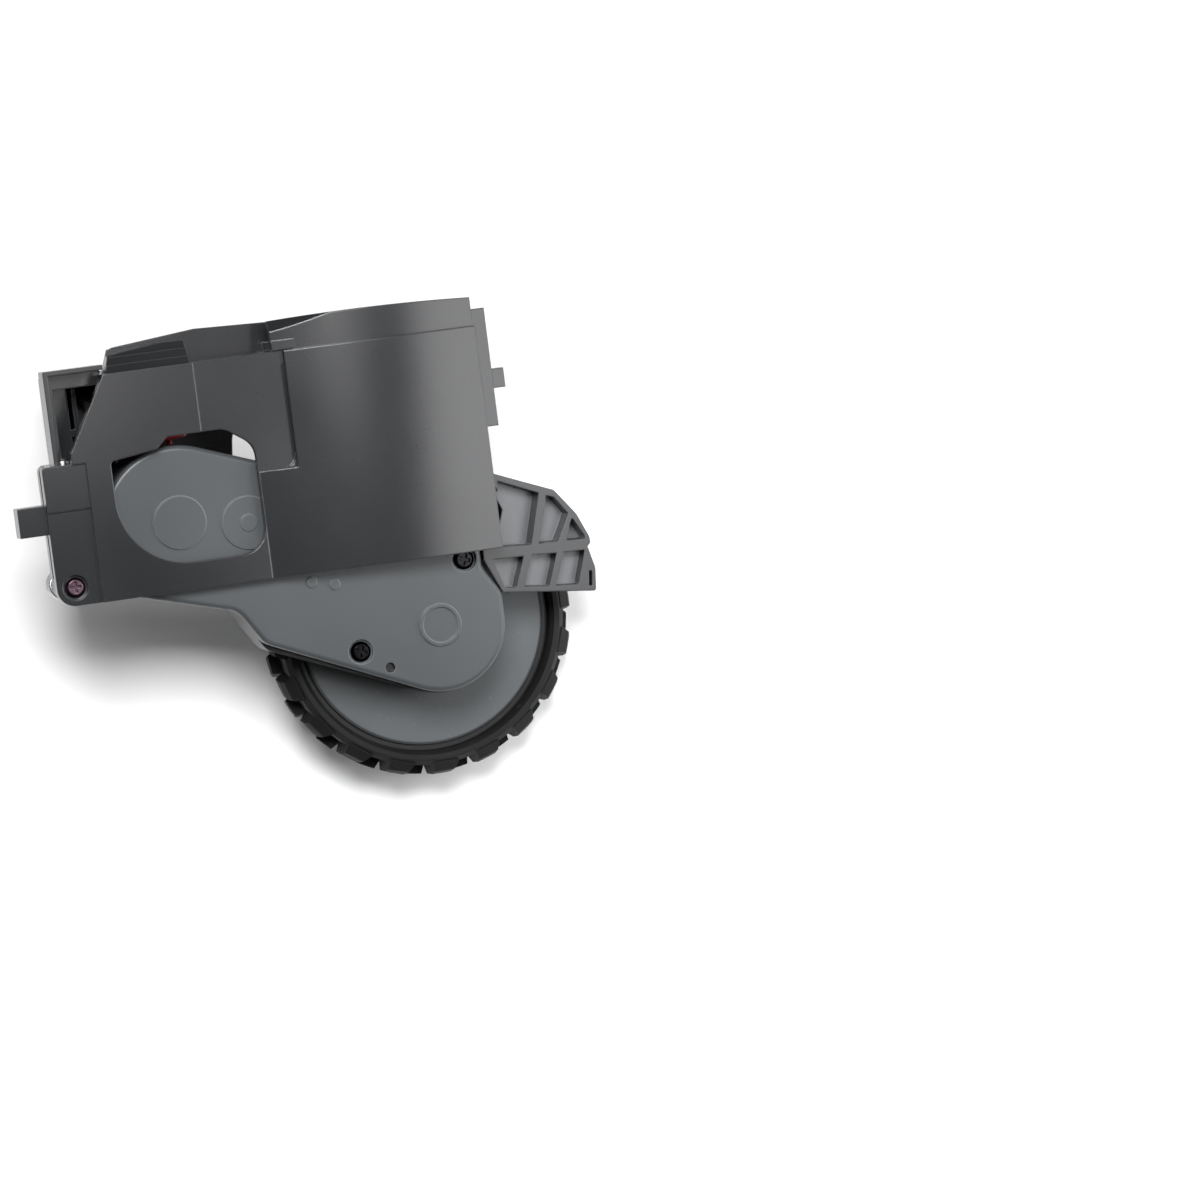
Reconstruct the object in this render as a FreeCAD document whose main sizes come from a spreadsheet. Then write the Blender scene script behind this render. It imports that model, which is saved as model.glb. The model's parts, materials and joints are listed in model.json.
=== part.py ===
import FreeCAD, Part
import math
import os
import re
from types import SimpleNamespace

# Drive wheel module of a robot vacuum cleaner: a moulded housing holds a swinging gearbox arm
# with the motor, a four-stage gear train and the treaded wheel.
# Axes: +X along the front wall, +Y from the front wall inwards, +Z up. Lengths in millimetres.
# Positions are taken from the wheel centre with the arm fully dropped; axle_x, axle_y and axle_z
# carry them to the origin, midway between the two rear fixing holes on the lugs' seating face.

DOC = FreeCAD.newDocument("wheel_module")
SHEET = DOC.addObject("Spreadsheet::Sheet", "sizes")

SIZES = {
    # datum
    "axle_x": 51.0, "axle_y": -25.0, "axle_z": -18.9,
    # arm pivot
    "pivot_x": -81.7, "pivot_z": 20.0, "pivot_radius": 1.5, "pivot_fit": 0.05,
    "eye_radius": 3.4, "eye_front": -26.1, "eye_rear": -16.5, "side_play": 0.3,
    # front wall
    "wall_left": -76.0, "wall_bottom": 15.9, "wall_top": 66.2, "wall_front": -30.0,
    "wall_back": -27.2, "panel_left": -49.2, "panel_right": -28.7, "panel_bottom": 40.0,
    "panel_depth": 0.8, "panel_corner": 2.8, "wing_left": -79.0, "wing_low": 47.6, "wing_top": -69.6,
    "cheek_edge": -37.4, "window_left": -70.4, "window_right": -37.5, "window_low": 22.0,
    "window_sweep": 16.0,
    "window_high": 50.6, "window_step": 47.3, "window_step_x": -58.6,
    # curved wall
    "curve_radius": 170.0, "curve_front": -35.0, "curve_centre": 6.0, "curve_skin": 2.4,
    "curve_right": 14.7, "band_setback": 2.0, "band_rise": 7.3, "band_left": -31.0,
    "crown_radius": 420.0, "chamfer_fall": 3.6, "chamfer_long": 14.0, "chamfer_lean": 1.3,
    # roof and rear wall
    "skin": 2.0, "roof_rise": 0.2, "rim_front": -20.0, "rim_rise": 6.5,
    "rim_left": -68.6, "step_front": -26.4, "step_rise": 2.0, "step_lean": 0.9, "step_tread": 0.9,
    "rear_face": 19.0, "arch_left": -34.3, "arch_foot": -31.0, "arch_drop": 5.4,
    "side_left": -76.5, "side_skin": 1.6, "side_front": -8.0,
    "bay_depth": 13.8, "bay_right": -60.0, "bay_sink": 2.6, "bay_step": -60.0,
    "mouth_left": -82.2, "mouth_side": -80.7, "mouth_front": -24.6, "mouth_rear": -19.4,
    "mouth_rise": 2.0, "mouth_skin": 1.1,
    # hinge block
    "block_left": -85.9, "block_top": 47.3, "block_front": -29.6, "block_split": 37.1,
    "block_step": 0.6, "block_inner": -26.4, "block_bridge": -78.7, "block_rear": -13.2,
    "bridge_left": -83.6, "cheek_reach": 2.9, "block_screw_in": 5.8, "block_screw_head": 1.7,
    # pegs and flange
    "left_peg_end": -92.3, "peg_low": 32.3, "peg_high": 38.9, "peg_front": -28.0, "peg_rear": -22.0,
    "flange_right": 17.8, "flange_low": 43.2, "flange_high": 69.9, "flange_front": -32.4,
    "flange_rear": -29.6, "right_peg_end": 20.6, "right_peg_low": 51.6, "right_peg_high": 56.0,
    # rear fixing lugs
    "lug_span": 30.0, "lug_reach": 8.0, "lug_width": 9.0, "lug_thick": 3.0, "lug_hole": 1.7,
    # gearbox arm
    "case_front": -26.0, "case_split": -20.0, "case_rear": -8.8, "case_skin": 1.5, "case_round": 1.1,
    "motor_x": -56.1, "motor_z": 31.0, "bump_radius": 17.3, "top_slope": 20.0,
    "nose_radius": 15.2, "belly_slope": 23.9, "split_lip": 1.3,
    "shaft_one_x": -40.7, "shaft_one_z": 28.9,
    "screw_one_x": -18.9, "screw_one_z": -3.5, "screw_two_x": 7.4, "screw_two_z": 13.9,
    "screw_three_x": -67.0, "screw_three_z": 19.6, "screw_recess": 2.8, "recess_depth": 1.1,
    "screw_head": 2.3, "screw_shank": 1.0, "post_radius": 2.3,
    # guard over the tyre
    "guard_front": -24.6, "guard_rear": -17.4, "tray_depth": 4.2, "hood_depth": 5.6,
    # gears
    "pressure_angle": 25.0, "addendum": 0.9, "dedendum": 1.15, "backlash": 0.12,
    "module_one": 0.5, "module_two": 0.6, "module_three": 0.8, "module_four": 1.0,
    "pinion_teeth": 16.0, "first_wheel": 46.0, "first_pinion": 14.0, "second_wheel": 40.0,
    "second_pinion": 12.0, "third_wheel": 30.0, "third_pinion": 11.0, "output_teeth": 24.0,
    "third_angle": 140.0, "centre_slack": 0.05,
    "level_one": -10.8, "level_two": -13.6, "level_three": -17.2, "level_four": -20.6,
    "level_end": -24.1, "idler_radius": 1.25, "idler_fit": 0.04,
    # axle and wheel
    "axle_radius": 3.0, "bush_radius": 4.6, "bush_flange": 5.6, "axle_fit": 0.03,
    "tyre_radius": 35.65, "lug_height": 2.45, "tread_depth": 5.65, "tyre_width": 16.0,
    "lug_count": 20.0, "lug_tip": 4.4, "lug_root": 6.0, "lug_slant": 12.0,
    "disc_gap": 1.4, "disc_face": -5.5, "disc_skin": 2.0, "rim_thick": 2.6,
    "rim_end": -4.3, "hub_boss": 6.2, "hub_end": 7.0,
    # motor
    "can_radius": 12.2, "can_rear": 9.0, "cap_rear": 11.4, "motor_shaft": 1.0,
    "spigot_radius": 3.4, "magnet_radius": 4.5, "board_front": 14.8, "board_thick": 1.2,
    "lead_radius": 0.65, "lead_bend": 2.5, "lead_rise": 18.9, "lead_front": -17.0,
    "terminal_side": 6.5,
    # return spring
    "coil_radius": 3.0, "spring_wire": 0.5, "coil_long": 5.0, "coil_gap": 0.8,
    "leg_lift": 20.0, "leg_length": 6.6, "anchor_thick": 2.4,
    # wheel-drop switch
    "switch_aside": 8.1, "switch_long": 12.8, "switch_front": -17.6, "switch_rear": -11.6,
    "switch_gap": 3.0, "switch_tall": 6.5, "switch_peg": 0.95, "lever_thick": 0.3,
    "lever_drop": 8.0, "lever_long": 13.4, "plunger_radius": 0.8,
    # plug
    "plug_gap": 2.1, "plug_long": 10.0, "plug_deep": 8.0, "plug_high": 7.0,
}

# Sizes that follow from the ones above
FOLLOWING = {
    "roof_under": "wall_top + roof_rise",
    "roof_top": "roof_under + skin",
    "rim_top": "wall_top + rim_rise",
    "band_top": "wall_top + band_rise",
    "bay_floor": "roof_under - bay_depth",
    "switch_left": "motor_x - switch_aside",
    "switch_high": "roof_under - switch_gap",
    "switch_low": "switch_high - switch_tall",
    "tyre_inner": "tyre_radius - tread_depth",
    "disc_radius": "tyre_inner - disc_gap",
    "rim_inner": "tyre_inner - rim_thick",
    "lead_height": "motor_z + lead_rise",
    "coil_front": "block_rear + coil_gap",
    "coil_rear": "coil_front + coil_long",
    "bay_roof": "roof_under - bay_sink",
}


def fill_sheet():
    texts = {name: str(value) for name, value in SIZES.items()}
    texts.update({name: f"={formula}" for name, formula in FOLLOWING.items()})
    for row, (name, text) in enumerate(texts.items(), start=1):
        SHEET.set(f"A{row}", name)
        SHEET.set(f"B{row}", text)
        SHEET.setAlias(f"B{row}", name)
    DOC.recompute()
    return SimpleNamespace(**{name: float(SHEET.get(name)) for name in texts})


S = fill_sheet()
AXLE = FreeCAD.Vector(S.axle_x, S.axle_y, S.axle_z)
MADE = []


# Shared drawing helpers

def bind(feature, **wanted):
    for name, text in wanted.items():
        formula = re.sub(r"[a-z][a-z_]+", lambda word: f"<<sizes>>.{word.group(0)}", str(text))
        feature.setExpression(name.replace("__", "."), formula)
    return feature


def box(name, across, along, up):
    solid = DOC.addObject("Part::Box", name)
    sides = (("Length", across), ("Width", along), ("Height", up))
    for (side, (low, high)), axis in zip(sides, "xyz"):
        bind(solid, **{side: f"({high}) - ({low})", f"Placement__Base__{axis}": f"axle_{axis} + {low}"})
    return solid


def rod(name, centre_x, centre_z, radius, front, rear):
    solid = DOC.addObject("Part::Cylinder", name)
    solid.Placement = FreeCAD.Placement(FreeCAD.Vector(), FreeCAD.Rotation(FreeCAD.Vector(1, 0, 0), -90))
    bind(solid, Radius=radius, Height=f"({rear}) - ({front})", Placement__Base__x=f"axle_x + {centre_x}",
         Placement__Base__y=f"axle_y + {front}", Placement__Base__z=f"axle_z + {centre_z}")
    return solid


def post(name, centre_x, centre_y, radius, low, high):
    solid = DOC.addObject("Part::Cylinder", name)
    bind(solid, Radius=radius, Height=f"({high}) - ({low})", Placement__Base__x=f"axle_x + {centre_x}",
         Placement__Base__y=f"axle_y + {centre_y}", Placement__Base__z=f"axle_z + {low}")
    return solid


def rounded(corners):
    """Lines and tangent arcs of a closed outline given as (x, z, corner radius)."""
    edges = []
    starts = []
    ends = []
    arcs = []
    count = len(corners)
    for index, (x, z, radius) in enumerate(corners):
        here = FreeCAD.Vector(x, z, 0)
        back = FreeCAD.Vector(*corners[index - 1][:2], 0) - here
        ahead = FreeCAD.Vector(*corners[(index + 1) % count][:2], 0) - here
        back.normalize()
        ahead.normalize()
        if radius <= 0:
            starts.append(here)
            ends.append(here)
            arcs.append(None)
            continue
        half = back.getAngle(ahead) / 2
        reach = radius / math.tan(half)
        middle = back + ahead
        middle.normalize()
        centre = here + middle * (radius / math.sin(half))
        starts.append(here + back * reach)
        ends.append(here + ahead * reach)
        arcs.append(Part.Arc(starts[-1], centre - middle * radius, ends[-1]))
    for index in range(count):
        if arcs[index]:
            edges.append(arcs[index])
        following = starts[(index + 1) % count]
        if (following - ends[index]).Length > 1e-6:
            edges.append(Part.LineSegment(ends[index], following))
    return edges


def plate(name, corners, front, rear):
    """Outline in the XZ plane carried from depth front to depth rear."""
    drawing = DOC.addObject("Sketcher::SketchObject", f"{name}_outline")
    drawing.Placement = FreeCAD.Placement(FreeCAD.Vector(), FreeCAD.Rotation(FreeCAD.Vector(1, 0, 0), 90))
    bind(drawing, Placement__Base__x="axle_x", Placement__Base__y=f"axle_y + {front}",
         Placement__Base__z="axle_z")
    drawing.addGeometry(rounded(corners), False)
    solid = DOC.addObject("Part::Extrusion", name)
    solid.Base = drawing
    solid.DirMode = "Custom"
    solid.Dir = FreeCAD.Vector(0, 1, 0)
    solid.Solid = True
    bind(solid, LengthFwd=f"({rear}) - ({front})")
    return solid


def fuse(name, solids):
    whole = DOC.addObject("Part::MultiFuse", name)
    whole.Shapes = solids
    whole.Refine = True
    return whole


def cut(name, base, tools):
    removed = tools[0] if len(tools) == 1 else fuse(f"{name}_cuts", tools)
    left = DOC.addObject("Part::Cut", name)
    left.Base = base
    left.Tool = removed
    left.Refine = True
    return left


def plain(name, shape):
    """A shape worked out about the wheel centre and carried to the datum."""
    feature = DOC.addObject("Part::Feature", name)
    feature.Shape = shape
    feature.Placement = FreeCAD.Placement(AXLE, FreeCAD.Rotation()).multiply(shape.Placement)
    return feature


def soften_front(name, base, front, radius):
    """Round the edges of a plate's front face."""
    DOC.recompute()
    edges = [(number, radius, radius) for number, edge in enumerate(base.Shape.Edges, start=1)
             if edge.BoundBox.YLength < 1e-4 and abs(edge.BoundBox.YMin - S.axle_y - front) < 1e-4]
    soft = DOC.addObject("Part::Fillet", name)
    soft.Base = base
    soft.Edges = edges
    return soft


def keep(feature):
    MADE.append(feature)
    return feature


def along_y(radius, x, z, front, rear):
    return Part.makeCylinder(radius, rear - front, FreeCAD.Vector(x, front, z), FreeCAD.Vector(0, 1, 0))


# Housing

def front_wall():
    wall = plate("flat_wall", [
        (S.wall_left, S.wall_bottom, 0), (S.cheek_edge, S.wall_bottom, 0),
        (S.cheek_edge, S.panel_bottom, 0), (S.panel_right + 1, S.panel_bottom, 0),
        (S.panel_right + 1, S.wall_top, 0), (S.wing_top, S.wall_top, 0.8),
        (S.wing_left, S.wing_low + 2, 0.8), (S.wing_left, S.block_top - 0.2, 0),
        (S.wall_left, S.block_top - 0.2, 0)], "wall_front", "wall_back")
    panel = plate("panel_recess", [
        (S.panel_left, S.panel_bottom, 0), (S.panel_right + 2, S.panel_bottom, 0),
        (S.panel_right + 2, S.wall_top + 1, 0), (S.panel_left, S.wall_top + 1, 0)],
        "wall_front - 1", "wall_front + panel_depth")
    return cut("front_wall", wall, [panel])


def panel_fillet():
    """Web that rounds the recessed panel's lower right corner."""
    web = box("corner_web", ("panel_right - panel_corner", "panel_right + 0.5"),
              ("wall_front", "wall_front + panel_depth + 0.5"),
              ("panel_bottom - 0.5", "panel_bottom + panel_corner"))
    sweep = rod("corner_sweep", "panel_right - panel_corner", "panel_bottom + panel_corner", "panel_corner",
                "wall_front - 1", "wall_front + panel_depth + 1")
    return cut("panel_fillet", web, [sweep])


def window():
    return plate("window", [
        (S.window_left, S.window_step - 0.6, 1.0), (S.window_left, S.window_low, S.window_sweep),
        (S.window_right, S.window_low, 6.0),
        (S.window_right, S.window_high - 4.5, 5.0), (S.window_right - 6.5, S.window_high, 5.0),
        (S.window_step_x + 1.5, S.window_high, 1.5), (S.window_step_x - 1, S.window_step + 0.8, 1.0)],
        "curve_front", "wall_back + 1")


def bowed(name, setback, skin, left, right, low, high):
    """Upright wall bowed about a vertical line, as the robot's rim."""
    outer = post(f"{name}_outer", "curve_centre", "curve_front + curve_radius",
                 f"curve_radius - {setback}", low, high)
    inner = post(f"{name}_inner", "curve_centre", "curve_front + curve_radius",
                 f"curve_radius - {setback} - {skin}", f"{low} - 1", f"{high} + 1")
    ring = cut(f"{name}_ring", outer, [inner])
    span = box(f"{name}_span", (left, right), ("curve_front - 1", "wall_back + 3"), (low, high))
    wall = DOC.addObject("Part::Common", name)
    wall.Base = ring
    wall.Tool = span
    return wall


def stepped_ledges():
    """Three leaning ledges that climb from the front wall's top edge to the rim."""
    profile = [(S.rim_front + 0.5, S.wall_top - S.skin), (S.step_front, S.wall_top - S.skin)]
    depth = S.step_front
    height = S.wall_top - 0.4
    for _ in range(3):
        profile.append((depth, height))
        profile.append((depth + S.step_lean, height + S.step_rise))
        depth += S.step_lean + S.step_tread
        height += S.step_rise - 0.25
        profile.append((depth, height + 0.25))
    profile.append((S.rim_front + 0.5, height + 0.25))
    ring = [FreeCAD.Vector(S.rim_left, y, z) for y, z in profile]
    face = Part.Face(Part.makePolygon(ring + [ring[0]]))
    solid = face.extrude(FreeCAD.Vector(S.panel_left - S.rim_left, 0, 0))
    slope = Part.Face(Part.makePolygon([
        FreeCAD.Vector(S.rim_left - 1, -40, S.wall_top - 0.6),
        FreeCAD.Vector(S.rim_left, -40, S.wall_top - 0.6),
        FreeCAD.Vector(S.rim_left + 2.6, -40, S.wall_top + S.rim_rise),
        FreeCAD.Vector(S.rim_left - 1, -40, S.wall_top + S.rim_rise),
        FreeCAD.Vector(S.rim_left - 1, -40, S.wall_top - 0.6)])).extrude(FreeCAD.Vector(0, 40, 0))
    return plain("stepped_ledges", solid.cut(slope))


def band_chamfer():
    """Slope cut from the left end of the band's top edge."""
    drawing = DOC.addObject("Sketcher::SketchObject", "chamfer_outline")
    drawing.Placement = FreeCAD.Placement(FreeCAD.Vector(), FreeCAD.Rotation(FreeCAD.Vector(1, 0, 0), 90))
    bind(drawing, Placement__Base__x="axle_x", Placement__Base__y="axle_y + wall_front + 0.7",
         Placement__Base__z="axle_z")
    low = S.band_top - S.chamfer_fall
    drawing.addGeometry(rounded([
        (S.band_left - 1, low - 0.3, 0), (S.band_left + S.chamfer_long, low + 6.3, 0),
        (S.band_left - 1, low + 12, 0)]), False)
    solid = DOC.addObject("Part::Extrusion", "band_chamfer")
    solid.Base = drawing
    solid.DirMode = "Custom"
    solid.Dir = FreeCAD.Vector(0, 1, S.chamfer_lean)
    solid.Solid = True
    bind(solid, LengthFwd="skin * 4", LengthRev="skin * 4")
    return solid


def crown():
    """Everything above the gently arched top edge."""
    blank = box("crown_blank", ("side_left - 2", "flange_right + 2"), ("curve_front - 2", "rim_front - 0.5"),
                ("band_top - 6", "band_top + 4"))
    drum = rod("crown_drum", "curve_centre - 18", "band_top - crown_radius", "crown_radius",
               "curve_front - 3", "rim_front")
    return cut("crown", blank, [drum])


def hinge_block():
    front = plate("block_front", [
        (S.block_left, S.wall_bottom, 4.0), (S.wall_left + 1, S.wall_bottom, 0),
        (S.wall_left + 1, S.block_top, 0), (S.block_left, S.block_top, 0.6)], "block_front", "block_inner")
    step = box("block_step", ("block_left - 1", "wall_left"), ("block_front - 1", "block_front + block_step"),
               ("wall_bottom - 1", "block_split"))
    cheek_left = S.pivot_x - S.cheek_reach
    cheek = plate("rear_cheek", [
        (cheek_left, S.pivot_z - S.cheek_reach, S.cheek_reach),
        (S.block_bridge, S.pivot_z - S.cheek_reach, 0),
        (S.block_bridge, S.block_top, 0), (cheek_left, S.block_top, 1.5)],
        "eye_rear + side_play", "block_rear")
    bridge = box("block_bridge", ("bridge_left", "block_bridge"), ("block_inner - 0.5", "block_rear"),
                 ("block_split", "block_top"))
    hollow = box("bridge_hollow", ("bridge_left + 1.4", "block_bridge + 1"),
                 ("block_inner + 3", "eye_rear - 1"),
                 ("block_split - 1", "block_top - 2"))
    return [front, cheek, bridge], [step, hollow]


def bay_mouth():
    """Thin lip round the open front of the connector bay, with the step behind it."""
    lip = box("mouth_blank", ("mouth_left", "wing_top + 1"), ("mouth_front", "mouth_rear + mouth_skin"),
              ("block_top - 0.5", "wall_top + mouth_rise"))
    opening = box("mouth_opening", ("mouth_left + mouth_skin", "wing_top + 2"),
                  ("mouth_front - 1", "mouth_rear"),
                  ("block_top - 1", "wall_top + mouth_rise - mouth_skin"))
    throat = box("mouth_throat", ("mouth_side + mouth_skin", "wing_top + 2"),
                 ("mouth_rear - 1", "mouth_rear + mouth_skin + 1"), ("block_top - 1", "bay_roof"))
    return cut("bay_mouth", lip, [opening, throat])


def connector_bay():
    """Walls of the open box behind the mouth, narrower behind the arm's casing."""
    skin = "side_skin"
    return [
        box("side_wall", ("side_left", f"side_left + {skin}"), ("side_front", "rear_face + 1"),
            ("wall_bottom", f"bay_roof + {skin}")),
        box("bay_side", ("mouth_side", "mouth_side + mouth_skin"), ("mouth_rear + 0.5", "side_front + 1"),
            ("block_top - 0.5", f"bay_roof + {skin}")),
        box("bay_shoulder", ("mouth_side", "side_left + 0.5"), ("side_front", "side_front + mouth_skin"),
            ("block_top - 0.5", f"bay_roof + {skin}")),
        box("bay_floor", ("side_left", "bay_right"), ("side_front", "rear_face + 1"),
            ("bay_floor", f"bay_floor + {skin}")),
        box("bay_wall", (f"bay_right - {skin}", "bay_right"), ("side_front", "rear_face + 1"),
            ("bay_floor", f"bay_roof + {skin}")),
        box("bay_top", ("side_left", "bay_step + 1"), ("mouth_rear + 0.5", "rear_face + 1"),
            ("bay_roof", f"bay_roof + {skin}")),
        box("mouth_top", ("mouth_side", "side_left + 1"), ("mouth_rear + 0.5", "side_front + mouth_skin"),
            ("bay_roof", f"bay_roof + {skin}")),
        box("bay_riser", ("bay_step", f"bay_step + {skin}"), ("rim_front + 0.5", "rear_face + 1"),
            ("bay_roof", "roof_top")),
        box("bay_rib", ("side_left + 2.6", "side_left + 3.6"), ("side_front", "side_front + 3"),
            ("bay_floor", "bay_roof + 1"))]


def housing():
    solids = [front_wall(), panel_fillet()]
    solids.append(bowed("bowed_wall", "0", "curve_skin", "cheek_edge", "curve_right",
                        "wall_bottom", "panel_bottom"))
    solids.append(bowed("raised_panel", "0", "curve_skin + 0.6", "panel_right", "curve_right", "panel_bottom",
                        "wall_top"))
    solids.append(bowed("top_band", "band_setback", "curve_skin", "band_left", "curve_right", "wall_top - 3",
                        "band_top + 1"))
    solids.append(box("ledge", ("wing_top + 0.6", "band_left + 2"), ("wall_back - 1", "rim_front + skin"),
                      ("wall_top - skin", "wall_top - 0.2")))
    solids.append(plate("rim_wall", [
        (S.rim_left, S.wall_top - S.skin, 0), (S.band_left + 4, S.wall_top - S.skin, 0),
        (S.band_left + 4, S.rim_top, 0), (S.panel_left + 3, S.rim_top + 0.7, 3),
        (S.rim_left + 2.8, S.rim_top - 1.2, 1.5), (S.rim_left, S.wall_top - 0.6, 0.8)],
        "rim_front", "rim_front + skin"))
    solids.append(stepped_ledges())
    solids.append(box("roof", ("bay_step", "band_left + 1"), ("rim_front + 0.5", "rear_face + skin"),
                      ("roof_under", "roof_top")))
    solids.append(box("arch_roof", ("band_left", "curve_right"), ("curve_front + band_setback + 3",
                                                                  "rear_face + skin"),
                      ("roof_under", "roof_top")))
    rear = fuse("rear_sheets", [
        box("rear_sheet", ("bay_step", "curve_right"), ("rear_face", "rear_face + skin"),
            ("wall_bottom", "roof_top")),
        box("bay_sheet", ("side_left", "bay_step + 1"), ("rear_face", "rear_face + skin"),
            ("wall_bottom", "bay_roof + skin"))])
    high = S.roof_under - S.arch_drop
    arch = plate("wheel_arch", [
        (S.arch_foot, S.wall_bottom - 1, 0), (S.curve_right + 1, S.wall_bottom - 1, 0),
        (S.curve_right + 1, high, 0),
        (S.arch_left + 15, high, 12.0), (S.arch_left + 0.8, high - 13, 6.0), (S.arch_left, high - 20, 3.0),
        (S.arch_foot, high - 26, 2.0)], "rear_face - 1", "rear_face + skin + 1")
    solids.append(cut("rear_wall", rear, [arch]))
    solids.append(bay_mouth())
    solids.extend(connector_bay())
    block, block_cuts = hinge_block()
    solids.extend(block)
    solids.append(box("left_peg", ("left_peg_end", "block_left + 3.4"), ("peg_front", "peg_rear"),
                      ("peg_low", "peg_high")))
    solids.append(box("flange", ("curve_right - 5", "flange_right"), ("flange_front", "flange_rear"),
                      ("flange_low", "flange_high")))
    solids.append(box("right_peg", ("flange_right - 1", "right_peg_end"),
                      ("flange_front + 0.4", "flange_rear + 2"),
                      ("right_peg_low", "right_peg_high")))
    solids.append(box("spring_anchor", ("block_bridge - 1.7", "block_bridge"),
                      ("block_rear - 0.5", "coil_rear + spring_wire + 0.4"),
                      ("pivot_z + coil_radius + spring_wire + 0.05",
                       "pivot_z + coil_radius + spring_wire + anchor_thick")))
    solids.append(rod("spring_boss", "pivot_x", "pivot_z", "coil_radius - spring_wire - 0.5",
                      "block_rear - 1",
                      "coil_rear + spring_wire"))
    solids.append(box("switch_bracket", ("switch_left - 2", "switch_left + switch_long + 2"),
                      ("rim_front", "rim_front + skin"), ("switch_low + 0.3", "wall_top - 1")))
    for index, share in enumerate((0.25, 0.78)):
        solids.append(rod(f"switch_peg_{index}", f"switch_left + {share} * switch_long", "switch_high - 2.6",
                          "switch_peg", "rim_front + 1", "switch_rear + 0.6"))
    for side, where in (("left", "0 - lug_span / 2"), ("right", "lug_span / 2")):
        solids.append(box(f"{side}_lug",
                          (f"{where} - axle_x - lug_width / 2", f"{where} - axle_x + lug_width / 2"),
                          ("rear_face + 1", "rear_face + skin + lug_reach"),
                          ("wall_bottom", "wall_bottom + lug_thick")))
    tools = [window(), crown(), band_chamfer()] + block_cuts
    tools.append(rod("pivot_hole", "pivot_x", "pivot_z", "pivot_radius + 0.02",
                     "block_front - 2", "block_rear + 1"))
    tools.append(rod("pivot_recess", "pivot_x", "pivot_z", "screw_recess", "block_front - 2",
                     "block_front + block_step + 1.3"))
    tools.append(post("block_screw_seat", "block_left + block_screw_in", "block_front + 7",
                      "block_screw_head + 0.1", "block_top", "block_top + 1.4"))
    tools.append(post("block_screw_hole", "block_left + block_screw_in", "block_front + 7",
                      "screw_shank + 0.02",
                      "block_top - 5", "block_top + 1"))
    for side, where in (("left", "0 - lug_span / 2"), ("right", "lug_span / 2")):
        tools.append(post(f"{side}_lug_hole", f"{where} - axle_x", "0 - axle_y", "lug_hole",
                          "wall_bottom - 1",
                          "wall_bottom + lug_thick + 1"))
    return keep(cut("housing", fuse("housing_blank", solids), tools))


# Screws

def cross_head(radius, height, shank, length):
    """Pan head screw pointing along +Y with its seat at the origin."""
    seat = FreeCAD.Vector(0, 0, 0)
    inwards = FreeCAD.Vector(0, 1, 0)
    head = Part.makeCone(radius * 0.72, radius, height * 0.5, FreeCAD.Vector(0, -height, 0), inwards)
    head = head.fuse(Part.makeCylinder(radius, height * 0.5, FreeCAD.Vector(0, -height / 2, 0), inwards))
    stem = Part.makeCylinder(shank, length - shank, seat, inwards)
    tip = Part.makeCone(shank, shank * 0.4, shank, FreeCAD.Vector(0, length - shank, 0), inwards)
    whole = head.fuse([stem, tip])
    slot = radius * 0.32
    depth = height * 0.6
    for wide, tall in ((radius * 1.15, slot), (slot, radius * 1.15)):
        corner = FreeCAD.Vector(-wide / 2, -height - 0.1, -tall / 2)
        whole = whole.cut(Part.makeBox(wide, depth + 0.1, tall, corner))
    return whole.removeSplitter()


def moved(shape, x, y, z, turn=None):
    copy = shape.copy()
    if turn:
        copy.rotate(FreeCAD.Vector(), turn[0], turn[1])
    copy.translate(FreeCAD.Vector(x, y, z))
    return copy


def screws():
    places = arm_details()[1]
    seat = S.case_front + S.recess_depth
    screw = cross_head(S.screw_head, 1.3, S.screw_shank, 11.0)
    upright = (FreeCAD.Vector(0, 1, 0), 20)
    keep(plain("cover_screws", Part.makeCompound([moved(screw, x, seat, z, upright) for x, z in places])))
    pivot = cross_head(2.25, 1.2, S.pivot_radius, S.block_rear - S.block_front - S.block_step - 1.3)
    keep(plain("pivot_screw", moved(pivot, S.pivot_x, S.block_front + S.block_step + 1.3, S.pivot_z)))
    fixing = cross_head(S.block_screw_head, 1.2, S.screw_shank, 4.6)
    down = (FreeCAD.Vector(1, 0, 0), -90)
    keep(plain("block_screw", moved(fixing, S.block_left + S.block_screw_in, S.block_front + 7,
                                    S.block_top, down)))


# Gear train

def tooth_outline(module, teeth, phase):
    """Involute teeth as short straight flanks, one tooth centred on the angle phase."""
    pitch = module * teeth / 2
    pressure = math.radians(S.pressure_angle)
    base = pitch * math.cos(pressure)
    tip = pitch + module * S.addendum
    root = pitch - module * S.dedendum
    spread = math.tan(pressure) - pressure
    half_pitch_angle = math.pi / (2 * teeth) - S.backlash * math.sqrt(module) / (4 * pitch)

    def half_angle(radius):
        if radius <= base:
            return half_pitch_angle + spread
        lean = math.acos(base / radius)
        return half_pitch_angle + spread - (math.tan(lean) - lean)

    levels = (root, max(base, root + 0.12 * module), pitch, tip)
    points = []
    for tooth in range(int(teeth)):
        middle = phase + 2 * math.pi * tooth / teeth
        for radius in levels:
            points.append((radius, middle - half_angle(radius)))
        for radius in reversed(levels):
            points.append((radius, middle + half_angle(radius)))
    return [FreeCAD.Vector(r * math.cos(a), 0, r * math.sin(a)) for r, a in points]


def toothed(module, teeth, phase, x, z, front, rear):
    ring = tooth_outline(module, teeth, phase)
    face = Part.Face(Part.makePolygon(ring + [ring[0]]))
    solid = face.extrude(FreeCAD.Vector(0, rear - front, 0))
    solid.translate(FreeCAD.Vector(x, front, z))
    return solid


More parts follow.
